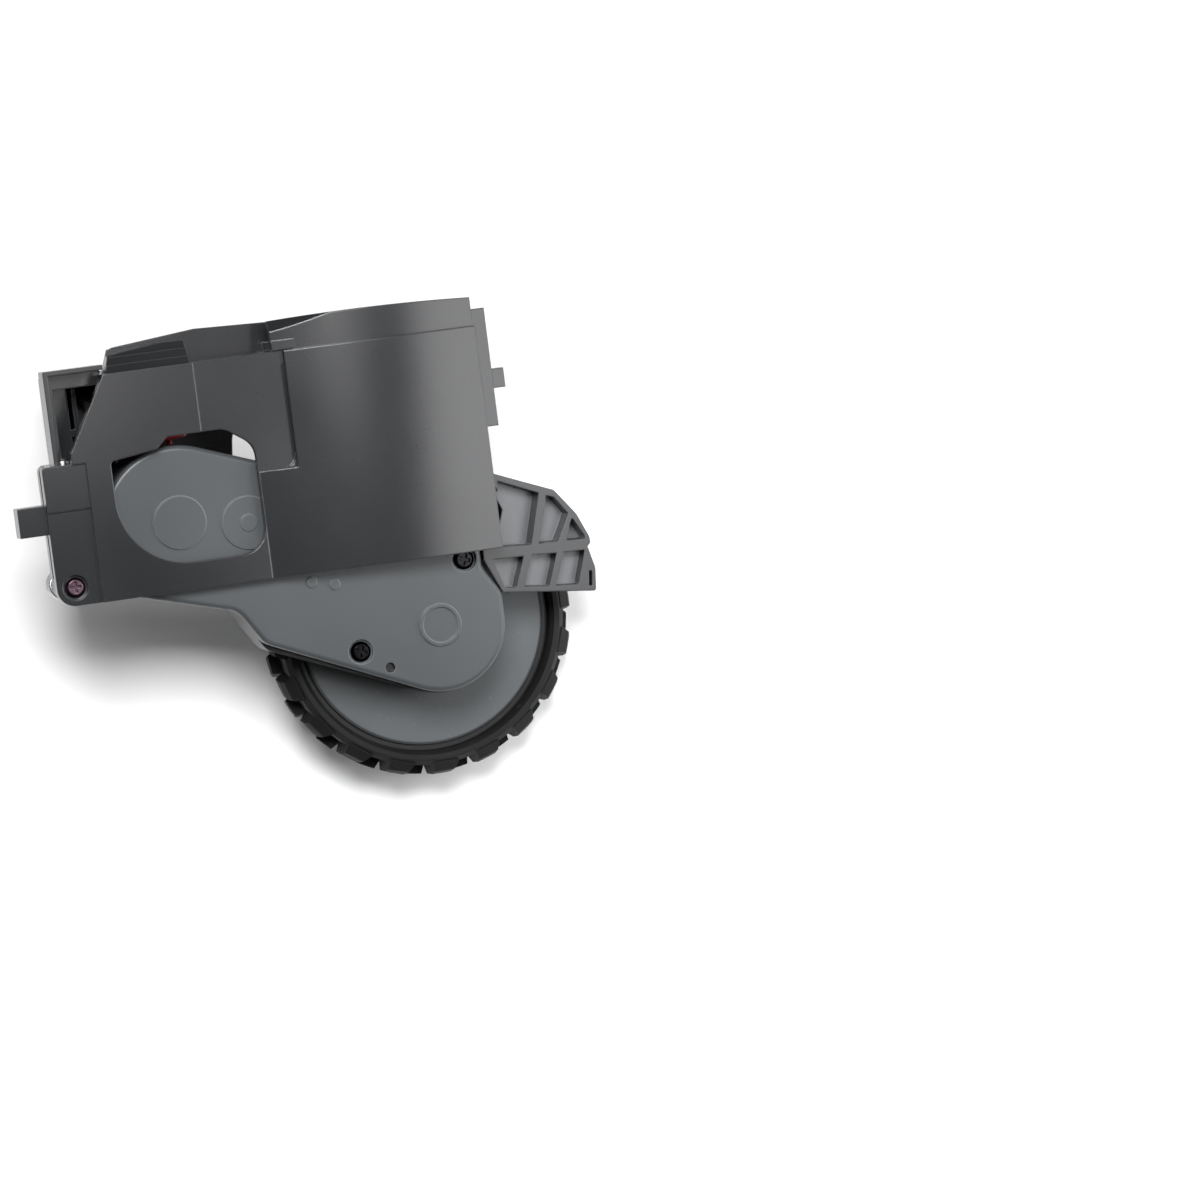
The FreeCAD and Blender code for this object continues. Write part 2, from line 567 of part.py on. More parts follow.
def meet(first, first_reach, second, second_reach, side):
    """Point at the two reaches from two centres, on the chosen side of the line between them."""
    apart = math.dist(first, second)
    along = (first_reach ** 2 - second_reach ** 2 + apart ** 2) / (2 * apart)
    off = side * math.sqrt(first_reach ** 2 - along ** 2)
    ux = (second[0] - first[0]) / apart
    uz = (second[1] - first[1]) / apart
    return first[0] + along * ux - off * uz, first[1] + along * uz + off * ux


def gap_phase(driver, driver_teeth, driver_phase, driven, driven_teeth):
    """Tooth angle of the driven gear that puts a gap where the driver has a tooth."""
    towards = math.atan2(driven[1] - driver[1], driven[0] - driver[0])
    lead = math.remainder(driver_phase - towards, 2 * math.pi / driver_teeth)
    return towards + math.pi - lead * driver_teeth / driven_teeth + math.pi / driven_teeth


def centres():
    motor = (S.motor_x, S.motor_z)
    first = (S.shaft_one_x, S.shaft_one_z)
    reach_one = S.module_one * (S.pinion_teeth + S.first_wheel) / 2 + S.centre_slack
    scale = reach_one / math.dist(motor, first)
    first = tuple(a + (b - a) * scale for a, b in zip(motor, first))
    reach_two = S.module_two * (S.first_pinion + S.second_wheel) / 2 + S.centre_slack
    reach_three = S.module_three * (S.second_pinion + S.third_wheel) / 2 + S.centre_slack
    reach_four = S.module_four * (S.third_pinion + S.output_teeth) / 2 + S.centre_slack
    angle = math.radians(S.third_angle)
    third = (reach_four * math.cos(angle), reach_four * math.sin(angle))
    second = meet(first, reach_two, third, reach_three, -1)
    return motor, first, second, third, (0.0, 0.0)


def gear_train():
    motor, first, second, third, output = centres()
    phase = 0.0
    mate = gap_phase(motor, S.pinion_teeth, phase, first, S.first_wheel)
    pinion = toothed(S.module_one, S.pinion_teeth, phase, *motor, S.level_two, S.level_one)
    keep(plain("motor_pinion", pinion.cut(along_y(S.motor_shaft, *motor, S.level_end, S.can_rear))))
    stages = (("gear_1", first, S.module_one, S.first_wheel, S.level_two, S.level_one,
               S.module_two, S.first_pinion, second, S.second_wheel, S.level_three),
              ("gear_2", second, S.module_two, S.second_wheel, S.level_three, S.level_two,
               S.module_three, S.second_pinion, third, S.third_wheel, S.level_four),
              ("gear_3", third, S.module_three, S.third_wheel, S.level_four, S.level_three,
               S.module_four, S.third_pinion, output, S.output_teeth, S.level_end))
    for name, centre, coarse, teeth, front, rear, fine, small_teeth, follower, follower_teeth, end in stages:
        wheel = toothed(coarse, teeth, mate, *centre, front + 0.3, rear)
        small = toothed(fine, small_teeth, mate, *centre, end + 0.1, front + 0.3)
        groove = along_y(coarse * teeth / 2 - 2.2 * coarse, *centre, rear - 0.7, rear + 1)
        hub = along_y(S.idler_radius + 1.6, *centre, rear - 1, rear + 1)
        body = wheel.cut(groove.cut(hub)).fuse(small)
        bore = along_y(S.idler_radius + S.idler_fit, *centre, S.level_end - 1, S.level_one + 2)
        keep(plain(name, body.cut(bore)))
        mate = gap_phase(centre, small_teeth, mate, follower, follower_teeth)
    last = toothed(S.module_four, S.output_teeth, mate, *output, S.level_end + 0.1, S.level_four)
    last = last.fuse(along_y(S.axle_radius + 1.3, *output, S.level_four - 1, S.level_three))
    keep(plain("output_gear", last.cut(along_y(S.axle_radius, *output, -40, 10))))
    pins = [along_y(S.idler_radius, *centre, S.case_front + 0.8, S.case_rear - 0.6)
            for centre in (first, second, third)]
    keep(plain("idler_shafts", Part.makeCompound(pins)))


# Gearbox arm

def arm_corners(lip):
    """Outline of the arm: motor bump, shoulder, nose round the axle and the stepped belly."""
    slope = math.tan(math.radians(S.top_slope))
    left = S.motor_x - S.bump_radius
    crest = S.motor_z + S.bump_radius / math.cos(math.radians(S.top_slope))
    belly = math.radians(S.belly_slope)

    def on_top(x):
        return crest - (x - S.motor_x) * slope

    def on_belly(x, extra):
        return -(S.nose_radius + extra) / math.cos(belly) - x * math.tan(belly)

    nose = S.nose_radius
    return [
        (left, S.motor_z - 13.7, 8.0),
        (S.motor_x + 10.6, S.motor_z - 21.6, 5.0),
        (S.motor_x + 15.8 + lip, on_belly(S.motor_x + 15.8 + lip, lip), 5.0),
        (nose, on_belly(nose, 0), nose),
        (nose, 5.5, 4.0), (S.screw_two_x + 4.0, 11.6, 3.0), (S.screw_two_x + 4.0, S.screw_two_z + 4.7, 4.0),
        (-24.0, on_top(-24.0), 15.0),
        (left, on_top(left), S.bump_radius)]


def inset(corners, distance):
    """Outline drawn in by a wall's thickness, corner by corner."""
    count = len(corners)
    result = []
    for index, (x, z, radius) in enumerate(corners):
        here = FreeCAD.Vector(x, z, 0)
        before = here - FreeCAD.Vector(*corners[index - 1][:2], 0)
        after = FreeCAD.Vector(*corners[(index + 1) % count][:2], 0) - here
        before.normalize()
        after.normalize()
        turn = before.x * after.y - before.y * after.x
        normal = FreeCAD.Vector(-before.y, before.x, 0) + FreeCAD.Vector(-after.y, after.x, 0)
        normal.normalize()
        stretch = distance / (normal.x * -before.y + normal.y * before.x)
        moved_in = here + normal * stretch
        result.append((moved_in.x, moved_in.y, max(radius - math.copysign(distance, turn), 0.4)))
    return result


def arm_details():
    """Places of the pins and of the screws on both halves of the arm."""
    screws_at = ((S.screw_one_x, S.screw_one_z), (S.screw_two_x, S.screw_two_z),
                 (S.screw_three_x, S.screw_three_z))
    return centres()[1:4], screws_at


def gearbox_cover():
    pins, screws_at = arm_details()
    corners = arm_corners(0)
    blank = soften_front("cover_edge", plate("cover_blank", corners, "case_front", "case_split"),
                         S.case_front, S.case_round)
    shell = cut("cover_shell", blank,
                [plate("cover_hollow", inset(corners, S.case_skin), "case_front + case_skin",
                        "case_split + 1")])
    solids = [shell]
    tools = []
    for index, (x, z) in enumerate(screws_at):
        solids.append(rod(f"cover_post_{index}", x, z, "post_radius + 0.3", "case_front + 0.2", "case_split"))
        tools.append(rod(f"cover_recess_{index}", x, z, "screw_recess", "case_front - 1",
                         "case_front + recess_depth"))
        tools.append(rod(f"cover_bore_{index}", x, z, "screw_shank + 0.15", "case_front", "case_split + 1"))
    for index, (x, z) in enumerate(pins):
        solids.append(rod(f"cover_boss_{index}", x, z, "idler_radius + 1.4", "case_front + 0.2",
                          "level_end - 0.1"))
        tools.append(rod(f"cover_socket_{index}", x, z, "idler_radius + 0.01", "case_front + 0.8",
                         "case_split"))
    solids.append(rod("axle_ring", 0, 0, 4.8, "case_front - 0.6", "case_front + 0.5"))
    solids.append(rod("motor_ring", "motor_x", "motor_z", 6, "case_front - 0.5", "case_front + 0.5"))
    solids.append(rod("shaft_ring", *pins[0], 6, "case_front - 0.5", "case_front + 0.5"))
    solids.append(rod("shaft_nub", *pins[0], 1.9, "case_front - 0.9", "case_front + 0.5"))
    solids.append(rod("small_boss_a", -28.1, 13.6, 1.2, "case_front - 0.5", "case_front + 0.5"))
    solids.append(rod("small_boss_b", -22.9, 12.4, 1.2, "case_front - 0.5", "case_front + 0.5"))
    solids.append(rod("axle_boss", 0, 0, "bush_flange + 0.8", "case_front + 0.2", "level_end - 0.2"))
    tools.append(rod("axle_ring_hollow", 0, 0, 4.0, "case_front - 1", "case_front - 0.1"))
    tools.append(rod("axle_pocket", 0, 0, "bush_radius", "case_front + 0.6", "case_split"))
    tools.append(rod("drain_hole", -12.7, -8.0, 1.1, "case_front - 1", "case_front + 1.2"))
    return keep(cut("gearbox_cover", fuse("cover_body", solids), tools))


def guard():
    """Open ribbed tray in front of the tyre, moulded with the inner half of the arm."""
    rim = plate("guard_rim", [
        (15.7, 5.1, 0.5), (37.3, 2.5, 0.5), (37.8, 7.8, 2.0), (36.6, 12.8, 0.4), (37.4, 13.6, 0.3),
        (37.3, 15.0, 0.8), (34.9, 20.6, 6.0), (30.4, 26.6, 1.5), (16.5, 32.3, 1.5), (4.0, 34.0, 0.5),
        (-6.0, 29.0, 0), (12.4, 19.2, 0.5), (12.2, 13.0, 0.5)], "guard_front", "guard_rear")
    tray = [
        [(14.3, 12.8), (21.5, 12.6), (18.9, 5.8), (16.4, 6.1)],
        [(23.4, 12.6), (29.2, 12.3), (26.6, 5.1), (20.8, 5.7)],
        [(30.8, 12.2), (35.8, 12.1), (33.4, 4.6), (28.1, 4.9)],
        [(36.2, 7.3), (36.9, 7.1), (36.5, 3.8), (35.8, 3.9)]]
    hood = [
        [(17.6, 30.4), (26.8, 26.4), (23.6, 15.0), (16.4, 15.4)],
        [(28.4, 25.6), (30.2, 25.0), (33.0, 20.9), (32.0, 18.8), (29.9, 14.9), (25.3, 15.0)],
        [(33.8, 19.8), (36.2, 15.3), (36.1, 14.7), (31.9, 14.8), (33.1, 18.4)],
        [(12.9, 21.4), (13.2, 29.6), (4.6, 31.8), (-0.5, 29.2)]]
    hollows = []
    for depth, cells in (("tray_depth", tray), ("hood_depth", hood)):
        for index, cell in enumerate(cells):
            hollows.append(plate(f"{depth}_{index}", [(x, z, 0.15) for x, z in cell], "guard_front - 1",
                                 f"guard_front + {depth}"))
    hollows.append(plate("guard_slit", [
        (15.2, 29.2, 0.3), (17.0, 29.0, 0.3), (19.2, 23.4, 0.4), (17.8, 19.4, 0.3), (15.2, 19.6, 0.3)],
        "guard_front - 1", "guard_rear + 1"))
    return rim, hollows


def spring_rest():
    """Centre of the peg under the spring's lower leg."""
    lift = math.radians(S.leg_lift)
    below = S.coil_radius + S.spring_wire + 1.0
    along = S.leg_length - 1.2
    return (S.pivot_x + below * math.sin(lift) + along * math.cos(lift),
            S.pivot_z - below * math.cos(lift) + along * math.sin(lift))


def gearbox_base():
    pins, screws_at = arm_details()
    corners = arm_corners(S.split_lip)
    shell = plate("base_blank", corners, "case_split", "case_rear")
    hollow = plate("base_hollow", inset(corners, S.case_skin), "case_split - 1", "case_rear - 1.6")
    rim, hollows = guard()
    link = plate("base_link", [
        (S.pivot_x, S.pivot_z - S.eye_radius, 0), (S.motor_x - 12, S.motor_z - 15.2, 0),
        (S.motor_x - 14, S.motor_z - 6, 0), (S.pivot_x, S.pivot_z + S.eye_radius, 0)],
        "case_split", "eye_rear")
    eye = rod("base_eye", "pivot_x", "pivot_z", "eye_radius", "eye_front", "eye_rear")
    root = plate("guard_root", [
        (-8.0, 30.4, 0.5), (-9.0, 26.5, 0), (10.0, 15.5, 0), (13.4, 6.0, 0), (17.0, 5.6, 0),
        (17.0, 13.0, 0.5), (14.0, 21.5, 0.5)], "case_split + 0.3", "case_rear - 0.8")
    spring_peg = rod("spring_peg", *spring_rest(), 1.0, "eye_rear - 0.5", "coil_front + 1.2")
    casing = cut("base_casing", fuse("base_outer", [shell, link, eye, rim, root, spring_peg]),
                 [hollow] + hollows)
    solids = [casing]
    tools = []
    for index, (x, z) in enumerate(screws_at):
        solids.append(rod(f"base_post_{index}", x, z, "post_radius", "case_split", "case_rear - 0.5"))
        tools.append(rod(f"base_bore_{index}", x, z, "screw_shank + 0.01",
                         "case_split - 1", "case_rear - 2.4"))
    for index, (x, z) in enumerate(pins):
        solids.append(rod(f"base_boss_{index}", x, z, "idler_radius + 1.4", "level_one + 0.2",
                          "case_rear - 0.2"))
        tools.append(rod(f"base_socket_{index}", x, z, "idler_radius + 0.01", "case_split",
                         "case_rear - 0.5"))
    solids.append(rod("base_sleeve", 0, 0, "bush_flange + 0.6", "case_rear - 2.6", "case_rear + 1.8"))
    tools.append(rod("base_bearing", 0, 0, "bush_radius", "case_split", "case_rear + 3"))
    tools.append(rod("spigot_hole", "motor_x", "motor_z", "spigot_radius + 0.02",
                     "case_split", "case_rear + 1"))
    for index, side in enumerate((1, -1)):
        tools.append(rod(f"motor_screw_hole_{index}", "motor_x", f"motor_z + {8 * side}", "screw_shank + 0.1",
                         "case_split", "case_rear + 1"))
    tools.append(rod("eye_bore", "pivot_x", "pivot_z", "pivot_radius + pivot_fit", "eye_front - 1",
                     "eye_rear + 1"))
    return keep(cut("gearbox_base", fuse("base_body", solids), tools))


# Axle, bushes and wheel

def axle_parts():
    front_bush = along_y(S.bush_radius, 0, 0, S.case_front + 0.6, S.level_end - 0.2)
    keep(plain("front_bush", front_bush.cut(along_y(S.axle_radius + S.axle_fit, 0, 0, -40, 20))))
    rear_bush = along_y(S.bush_radius, 0, 0, S.case_rear - 2.6, S.case_rear + 1.8)
    rear_bush = rear_bush.fuse(along_y(S.bush_flange, 0, 0, S.case_rear - 3.4, S.case_rear - 2.6))
    keep(plain("rear_bush", rear_bush.cut(along_y(S.axle_radius + S.axle_fit, 0, 0, -40, 20))))
    shaft = along_y(S.axle_radius, 0, 0, S.case_front + 0.9, S.hub_end)
    keep(plain("wheel_axle", shaft.cut(along_y(S.screw_shank, 0, 0, S.hub_end - 6, S.hub_end + 1))))
    washer = along_y(5.0, 0, 0, S.hub_end, S.hub_end + 0.8)
    keep(plain("axle_washer", washer.cut(along_y(S.screw_shank + 0.1, 0, 0, 0, 20))))
    bolt = cross_head(2.1, 1.2, S.screw_shank, 5.5)
    keep(plain("axle_screw", moved(bolt, 0, S.hub_end + 0.8, 0, (FreeCAD.Vector(0, 0, 1), 180))))


def revolve(points):
    """Closed profile of (radius, depth) turned about the axle."""
    ring = [FreeCAD.Vector(radius, depth, 0) for radius, depth in points]
    face = Part.Face(Part.makePolygon(ring + [ring[0]]))
    return face.revolve(FreeCAD.Vector(), FreeCAD.Vector(0, 1, 0), 360)


def wheel_hub():
    half = S.tyre_width / 2
    profile = [
        (S.axle_radius, S.disc_face + 0.6), (S.hub_boss - 0.8, S.disc_face + 0.6), (S.hub_boss, S.disc_face),
        (S.disc_radius - 0.6, S.disc_face), (S.disc_radius, S.disc_face + 0.6), (S.disc_radius, S.rim_end),
        (S.tyre_inner, S.rim_end), (S.tyre_inner, half - 0.8), (S.rim_inner, half - 0.8),
        (S.rim_inner, S.disc_face + S.disc_skin), (S.hub_boss, S.disc_face + S.disc_skin),
        (S.hub_boss, S.hub_end), (S.axle_radius, S.hub_end)]
    hub = revolve(profile)
    ribs = []
    for number in range(6):
        rib = Part.makeBox(S.rim_inner - S.hub_boss + 1, half - S.disc_face - S.disc_skin - 1.5, 1.6,
                           FreeCAD.Vector(S.hub_boss - 0.5, S.disc_face + S.disc_skin - 0.2, -0.8))
        rib.rotate(FreeCAD.Vector(), FreeCAD.Vector(0, 1, 0), 60 * number + 15)
        ribs.append(rib)
    keep(plain("wheel_hub", hub.fuse(ribs)))


def tyre():
    half = S.tyre_width / 2
    valley = S.tyre_radius - S.lug_height
    band = revolve([
        (S.tyre_inner, 1 - half), (S.tyre_inner + 0.8, -half), (valley - 1.2, -half), (valley, 1.6 - half),
        (valley, half - 1.6), (valley - 1.2, half), (S.tyre_inner + 0.8, half), (S.tyre_inner, half - 1)])
    lean = math.tan(math.radians(S.lug_slant))
    lugs = []
    pitch = 360 / S.lug_count
    for row, start in ((-1, 0.0), (1, pitch / 2)):
        depth = half - 0.7
        root = [FreeCAD.Vector(valley - 0.6, row * 0.5, -S.lug_root / 2),
                FreeCAD.Vector(valley - 0.6, row * 0.5, S.lug_root / 2),
                FreeCAD.Vector(S.tyre_radius, row * 0.5, S.lug_tip / 2),
                FreeCAD.Vector(S.tyre_radius, row * 0.5, -S.lug_tip / 2)]
        face = Part.Face(Part.makePolygon(root + [root[0]]))
        lug = face.extrude(FreeCAD.Vector(0, row * depth, depth * lean))
        for number in range(int(S.lug_count)):
            copy = lug.copy()
            copy.rotate(FreeCAD.Vector(), FreeCAD.Vector(0, 1, 0), start + pitch * number)
            lugs.append(copy)
    envelope = revolve([
        (S.tyre_inner - 1, -half - 1), (S.tyre_inner - 1, half + 1), (valley - 1.6, half + 0.3),
        (S.tyre_radius - 0.7, half - 2.4), (S.tyre_radius, half - 4.5), (S.tyre_radius, 4.5 - half),
        (S.tyre_radius - 0.7, 2.4 - half), (valley - 1.6, -half - 0.3)])
    keep(plain("tyre", band.fuse(lugs).common(envelope).removeSplitter()))


# Motor

def motor():
    x = S.motor_x
    z = S.motor_z
    can = along_y(S.can_radius, x, z, S.case_rear, S.can_rear)
    can = can.makeFillet(1.0, [edge for edge in can.Edges if abs(edge.BoundBox.YMax - S.case_rear) < 0.01
                               and len(edge.Vertexes) == 1 and edge.BoundBox.YLength < 0.01])
    can = can.fuse(along_y(S.spigot_radius, x, z, S.case_rear - 1.6, S.case_rear + 2))
    can = can.cut(along_y(S.motor_shaft + 0.05, x, z, S.case_rear - 3, S.can_rear + 1))
    for side in (8, -8):
        can = can.cut(along_y(S.screw_shank, x, z + side, S.case_rear - 1, S.case_rear + 3))
    keep(plain("motor_can", can))
    cap = along_y(S.can_radius - 0.6, x, z, S.can_rear, S.cap_rear)
    cap = cap.fuse(along_y(3.2, x, z, S.cap_rear - 1, S.cap_rear + 0.6))
    cap = cap.cut(along_y(S.motor_shaft + 0.05, x, z, 0, 30))
    for side in (S.terminal_side, -S.terminal_side):
        cap = cap.cut(Part.makeBox(2.4, 3.0, 0.9, FreeCAD.Vector(x + side - 1.2, S.can_rear - 0.1, z - 0.45)))
    keep(plain("motor_end_cap", cap))
    tabs = [Part.makeBox(2.0, S.board_front - S.can_rear - 0.5, 0.5,
                         FreeCAD.Vector(x + side - 1.0, S.can_rear + 0.3, z - 0.25))
            for side in (S.terminal_side, -S.terminal_side)]
    keep(plain("motor_terminals", Part.makeCompound(tabs)))
    keep(plain("motor_shaft", along_y(S.motor_shaft, x, z, S.level_two - 0.4, S.board_front - 0.5)))
    magnet = along_y(S.magnet_radius, x, z, S.cap_rear + 0.9, S.board_front - 0.8)
    keep(plain("encoder_magnet", magnet.cut(along_y(S.motor_shaft, x, z, 0, 30))))
    board = along_y(S.can_radius - 1.4, x, z, S.board_front, S.board_front + S.board_thick)
    for side in (8.5, -8.5):
        board = board.fuse(along_y(1.2, x, z + side, S.cap_rear, S.board_front))
    keep(plain("encoder_board", board))
    screw = cross_head(1.8, 1.0, S.screw_shank, 4.0)
    keep(plain("motor_screws", Part.makeCompound([
        moved(screw, x, S.case_rear - 1.6, z + side) for side in (8, -8)])))


def swept(edges, radius):
    """Round wire along a path of tangent edges."""
    path = Part.Wire(edges)
    start = path.Edges[0].valueAt(path.Edges[0].FirstParameter)
    heading = path.Edges[0].tangentAt(path.Edges[0].FirstParameter)
    ring = Part.Wire(Part.makeCircle(radius, start, heading))
    return path.makePipeShell([ring], True, False)


def return_spring():
    """Torsion coil round the pivot boss, one leg on the arm's peg and one under the anchor."""
    start = math.radians(S.leg_lift - 90)
    turns = 4 + (start - math.pi / 2) / (2 * math.pi)
    steps = 36
    coil = []
    for step in range(steps + 1):
        share = step / steps
        angle = start - share * turns * 2 * math.pi
        coil.append(FreeCAD.Vector(S.pivot_x + S.coil_radius * math.cos(angle),
                                   S.coil_front + share * (S.coil_rear - S.coil_front),
                                   S.pivot_z + S.coil_radius * math.sin(angle)))
    lift = math.radians(S.leg_lift)
    foot = coil[0] + FreeCAD.Vector(math.cos(lift), 0, math.sin(lift)) * S.leg_length
    hook = FreeCAD.Vector(S.block_bridge + 0.4, coil[-1].y, coil[-1].z)
    edges = [Part.makeLine(foot, coil[0])]
    for step in range(0, steps, 2):
        edges.append(Part.Arc(coil[step], coil[step + 1], coil[step + 2]).toShape())
    edges.append(Part.makeLine(coil[-1], hook))
    keep(plain("return_spring", swept(edges, S.spring_wire)))


def switch():
    long = S.switch_long
    body = Part.makeBox(long, S.switch_rear - S.switch_front, S.switch_high - S.switch_low,
                        FreeCAD.Vector(S.switch_left, S.switch_front, S.switch_low))
    middle = (S.switch_front + S.switch_rear) / 2
    for share in (0.25, 0.78):
        body = body.cut(along_y(S.switch_peg + 0.05, S.switch_left + share * long, S.switch_high - 2.6,
                                S.switch_front - 1, S.switch_rear + 1))
    push_x = S.switch_left + 0.5 * long
    push = FreeCAD.Vector(push_x, middle, 0)
    well = Part.makeCylinder(S.plunger_radius + 0.06, 2.8, FreeCAD.Vector(push.x, push.y, S.switch_low - 0.5))
    keep(plain("switch_body", body.cut(well)))
    drop = math.radians(S.lever_drop)
    hinge_z = S.switch_low - 0.5
    tip_z = (hinge_z - (push_x - S.switch_left - 0.6) * math.tan(drop)
             + S.lever_thick / 2 / math.cos(drop) + 0.12)
    plunger = Part.makeCylinder(S.plunger_radius, S.switch_low + 0.9 - tip_z,
                                FreeCAD.Vector(push.x, push.y, tip_z))
    keep(plain("switch_plunger", plunger.makeChamfer(0.2, [plunger.Edges[2]])))
    strip = Part.makeBox(S.lever_long, 4.0, S.lever_thick,
                         FreeCAD.Vector(0, middle - 2.0, -S.lever_thick / 2))
    curl = along_y(0.32, 0, 0, middle - 2.0, middle + 2.0)
    nose = along_y(0.5, S.lever_long, 0, middle - 2.0, middle + 2.0)
    lever = strip.fuse([curl, nose])
    lever.rotate(FreeCAD.Vector(), FreeCAD.Vector(0, 1, 0), S.lever_drop)
    lever.translate(FreeCAD.Vector(S.switch_left + 0.6, 0, hinge_z))
    keep(plain("switch_lever", lever))


def route(stops, bend):
    """Straight runs and tangent arcs through the stops."""
    points = [FreeCAD.Vector(*stop) for stop in stops]
    edges = []
    last = points[0]
    for before, here, after in zip(points, points[1:], points[2:]):
        back = (before - here).normalize()
        ahead = (after - here).normalize()
        half = back.getAngle(ahead) / 2
        reach = bend / math.tan(half)
        inner = (back + ahead).normalize()
        centre = here + inner * (bend / math.sin(half))
        enter = here + back * reach
        leave = here + ahead * reach
        edges.append(Part.makeLine(last, enter))
        edges.append(Part.Arc(enter, centre - inner * bend, leave).toShape())
        last = leave
    edges.append(Part.makeLine(last, points[-1]))
    return edges


def plug_places():
    left = S.side_left + S.side_skin + S.plug_gap
    return left, S.bay_floor + S.side_skin, (left + 6.3, left + 1.8)


def wires():
    """Motor leads from the terminals over the arm to the plug in the bay."""
    _, floor, (red_x, black_x) = plug_places()
    high = floor + 5.2
    depth = S.board_front - 2.2
    z = S.motor_z + 0.25
    right = S.motor_x + S.terminal_side
    red = route([(right, depth, z), (right, depth, S.lead_height), (right, S.lead_front, S.lead_height),
                 (red_x, S.lead_front, S.lead_height - 1.2), (red_x, S.lead_front + 4, high),
                 (red_x, 0.7, high)],
                S.lead_bend)
    keep(plain("red_wire", swept(red, S.lead_radius)))
    left = S.motor_x - S.terminal_side
    over = S.lead_height + 0.4
    black = route([(left, depth, z), (left, depth, over), (left, S.lead_front + 5, over),
                   (black_x, S.lead_front + 5, over), (black_x, S.lead_front + 5, high),
                   (black_x, 0.7, high)],
                  S.lead_bend)
    keep(plain("black_wire", swept(black, S.lead_radius)))


def connector():
    left, floor, entries = plug_places()
    body = Part.makeBox(S.plug_long, S.plug_deep, S.plug_high, FreeCAD.Vector(left, 0, floor))
    body = body.cut(Part.makeBox(S.plug_long - 1.6, S.plug_deep - 1.6, S.plug_high - 1.5,
                                 FreeCAD.Vector(left + 0.8, 0.8, floor + 1.5)))
    for x in entries:
        body = body.cut(along_y(S.lead_radius + 0.05, x, floor + 5.2, -1, 0.8))
    keep(plain("connector_block", body))
    pins = [Part.makeBox(0.6, 0.6, 4, FreeCAD.Vector(left + 1.6 + 4.5 * n, 3.7, floor + 1.5))
            for n in range(2)]
    keep(plain("connector_contacts", Part.makeCompound(pins)))


def export():
    os.makedirs("parts", exist_ok=True)
    DOC.recompute()
    for feature in DOC.Objects:
        if "Invalid" in feature.State or "Error" in feature.State:
            raise RuntimeError(f"{feature.Name} failed: {feature.State}")
    for feature in MADE:
        shape = feature.Shape
        if shape.isNull() or not shape.isValid():
            raise RuntimeError(f"{feature.Label} has no valid shape")
        shape.exportStep(f"parts/{feature.Label}.step")
        print(feature.Label, len(shape.Solids), round(shape.Volume, 1))


housing()
screws()
gearbox_cover()
gearbox_base()
gear_train()
axle_parts()
wheel_hub()
tyre()
motor()
return_spring()
switch()
wires()
connector()
export()
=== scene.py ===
import json
import math

import bpy
from mathutils import Matrix, Vector

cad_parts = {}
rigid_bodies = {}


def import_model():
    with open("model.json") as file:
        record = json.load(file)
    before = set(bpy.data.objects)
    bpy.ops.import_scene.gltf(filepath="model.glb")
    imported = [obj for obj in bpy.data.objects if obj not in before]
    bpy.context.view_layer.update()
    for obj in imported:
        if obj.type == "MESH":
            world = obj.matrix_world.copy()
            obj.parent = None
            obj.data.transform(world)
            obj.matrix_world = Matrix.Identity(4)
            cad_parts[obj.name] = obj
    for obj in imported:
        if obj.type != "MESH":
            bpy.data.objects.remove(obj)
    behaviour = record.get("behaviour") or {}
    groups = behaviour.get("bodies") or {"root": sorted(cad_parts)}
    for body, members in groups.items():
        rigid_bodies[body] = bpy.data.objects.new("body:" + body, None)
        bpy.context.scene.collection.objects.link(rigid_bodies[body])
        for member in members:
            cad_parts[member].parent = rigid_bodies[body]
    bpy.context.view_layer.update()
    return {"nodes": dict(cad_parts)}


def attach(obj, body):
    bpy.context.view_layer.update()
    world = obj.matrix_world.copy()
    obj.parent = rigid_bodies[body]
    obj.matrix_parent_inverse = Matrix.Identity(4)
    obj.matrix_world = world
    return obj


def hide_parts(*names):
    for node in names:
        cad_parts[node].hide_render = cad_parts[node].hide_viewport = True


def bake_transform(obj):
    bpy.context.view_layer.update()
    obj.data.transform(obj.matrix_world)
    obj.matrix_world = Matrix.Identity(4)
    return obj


# Drive wheel module of a robot vacuum cleaner, in metres, in the same frame as the CAD.

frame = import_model()
MM = 0.001
AXLE = Vector((51.0, -25.0, -18.9)) * MM
SMOOTH_ANGLE = math.radians(35)


def at(x, y, z):
    """A point given in millimetres from the wheel centre, with the arm dropped."""
    return AXLE + Vector((x, y, z)) * MM


def linear(red, green, blue):
    """Linear colour of a screen colour given from 0 to 255."""
    screen = (red / 255, green / 255, blue / 255)
    return (*(c / 12.92 if c <= 0.04045 else ((c + 0.055) / 1.055) ** 2.4 for c in screen), 1.0)


def grey(level):
    return (level, level, level, 1.0)


def brighter(tone, factor, lift=0.0, limit=1.0):
    """A tone multiplied and lifted, with no part of it past the limit."""
    return (*(min(limit, level * factor + lift) for level in tone[:3]), 1.0)


# Materials

ZONE_BLUR = 0.1 * MM
BEVEL_SAMPLES = 6

# Noise levels between which a base colour drifts and rubs fade in
DRIFT_FROM, DRIFT_TO = 0.32, 0.68
RUB_FROM, RUB_TO = 0.66, 0.74

# Cosine of the turn between the rounded and the true surface, where an edge's tone is full and gone
EDGE_FULL, EDGE_GONE = 0.86, 0.985
EDGE_BREAKS_SCALE = 320.0
EDGE_FAINTEST, EDGE_STRONGEST = 0.35, 1.25

# How far towards the front (Y = -1) a surface has to face to get the painted reflection of a box zone, in
# full or at all
FACING_FULL, FACING_NONE = -0.9, -0.6

# Sockets of a colour Mix node, which share their names with those for other kinds of value
MIX_FIRST, MIX_SECOND, MIX_RESULT = 6, 7, 2


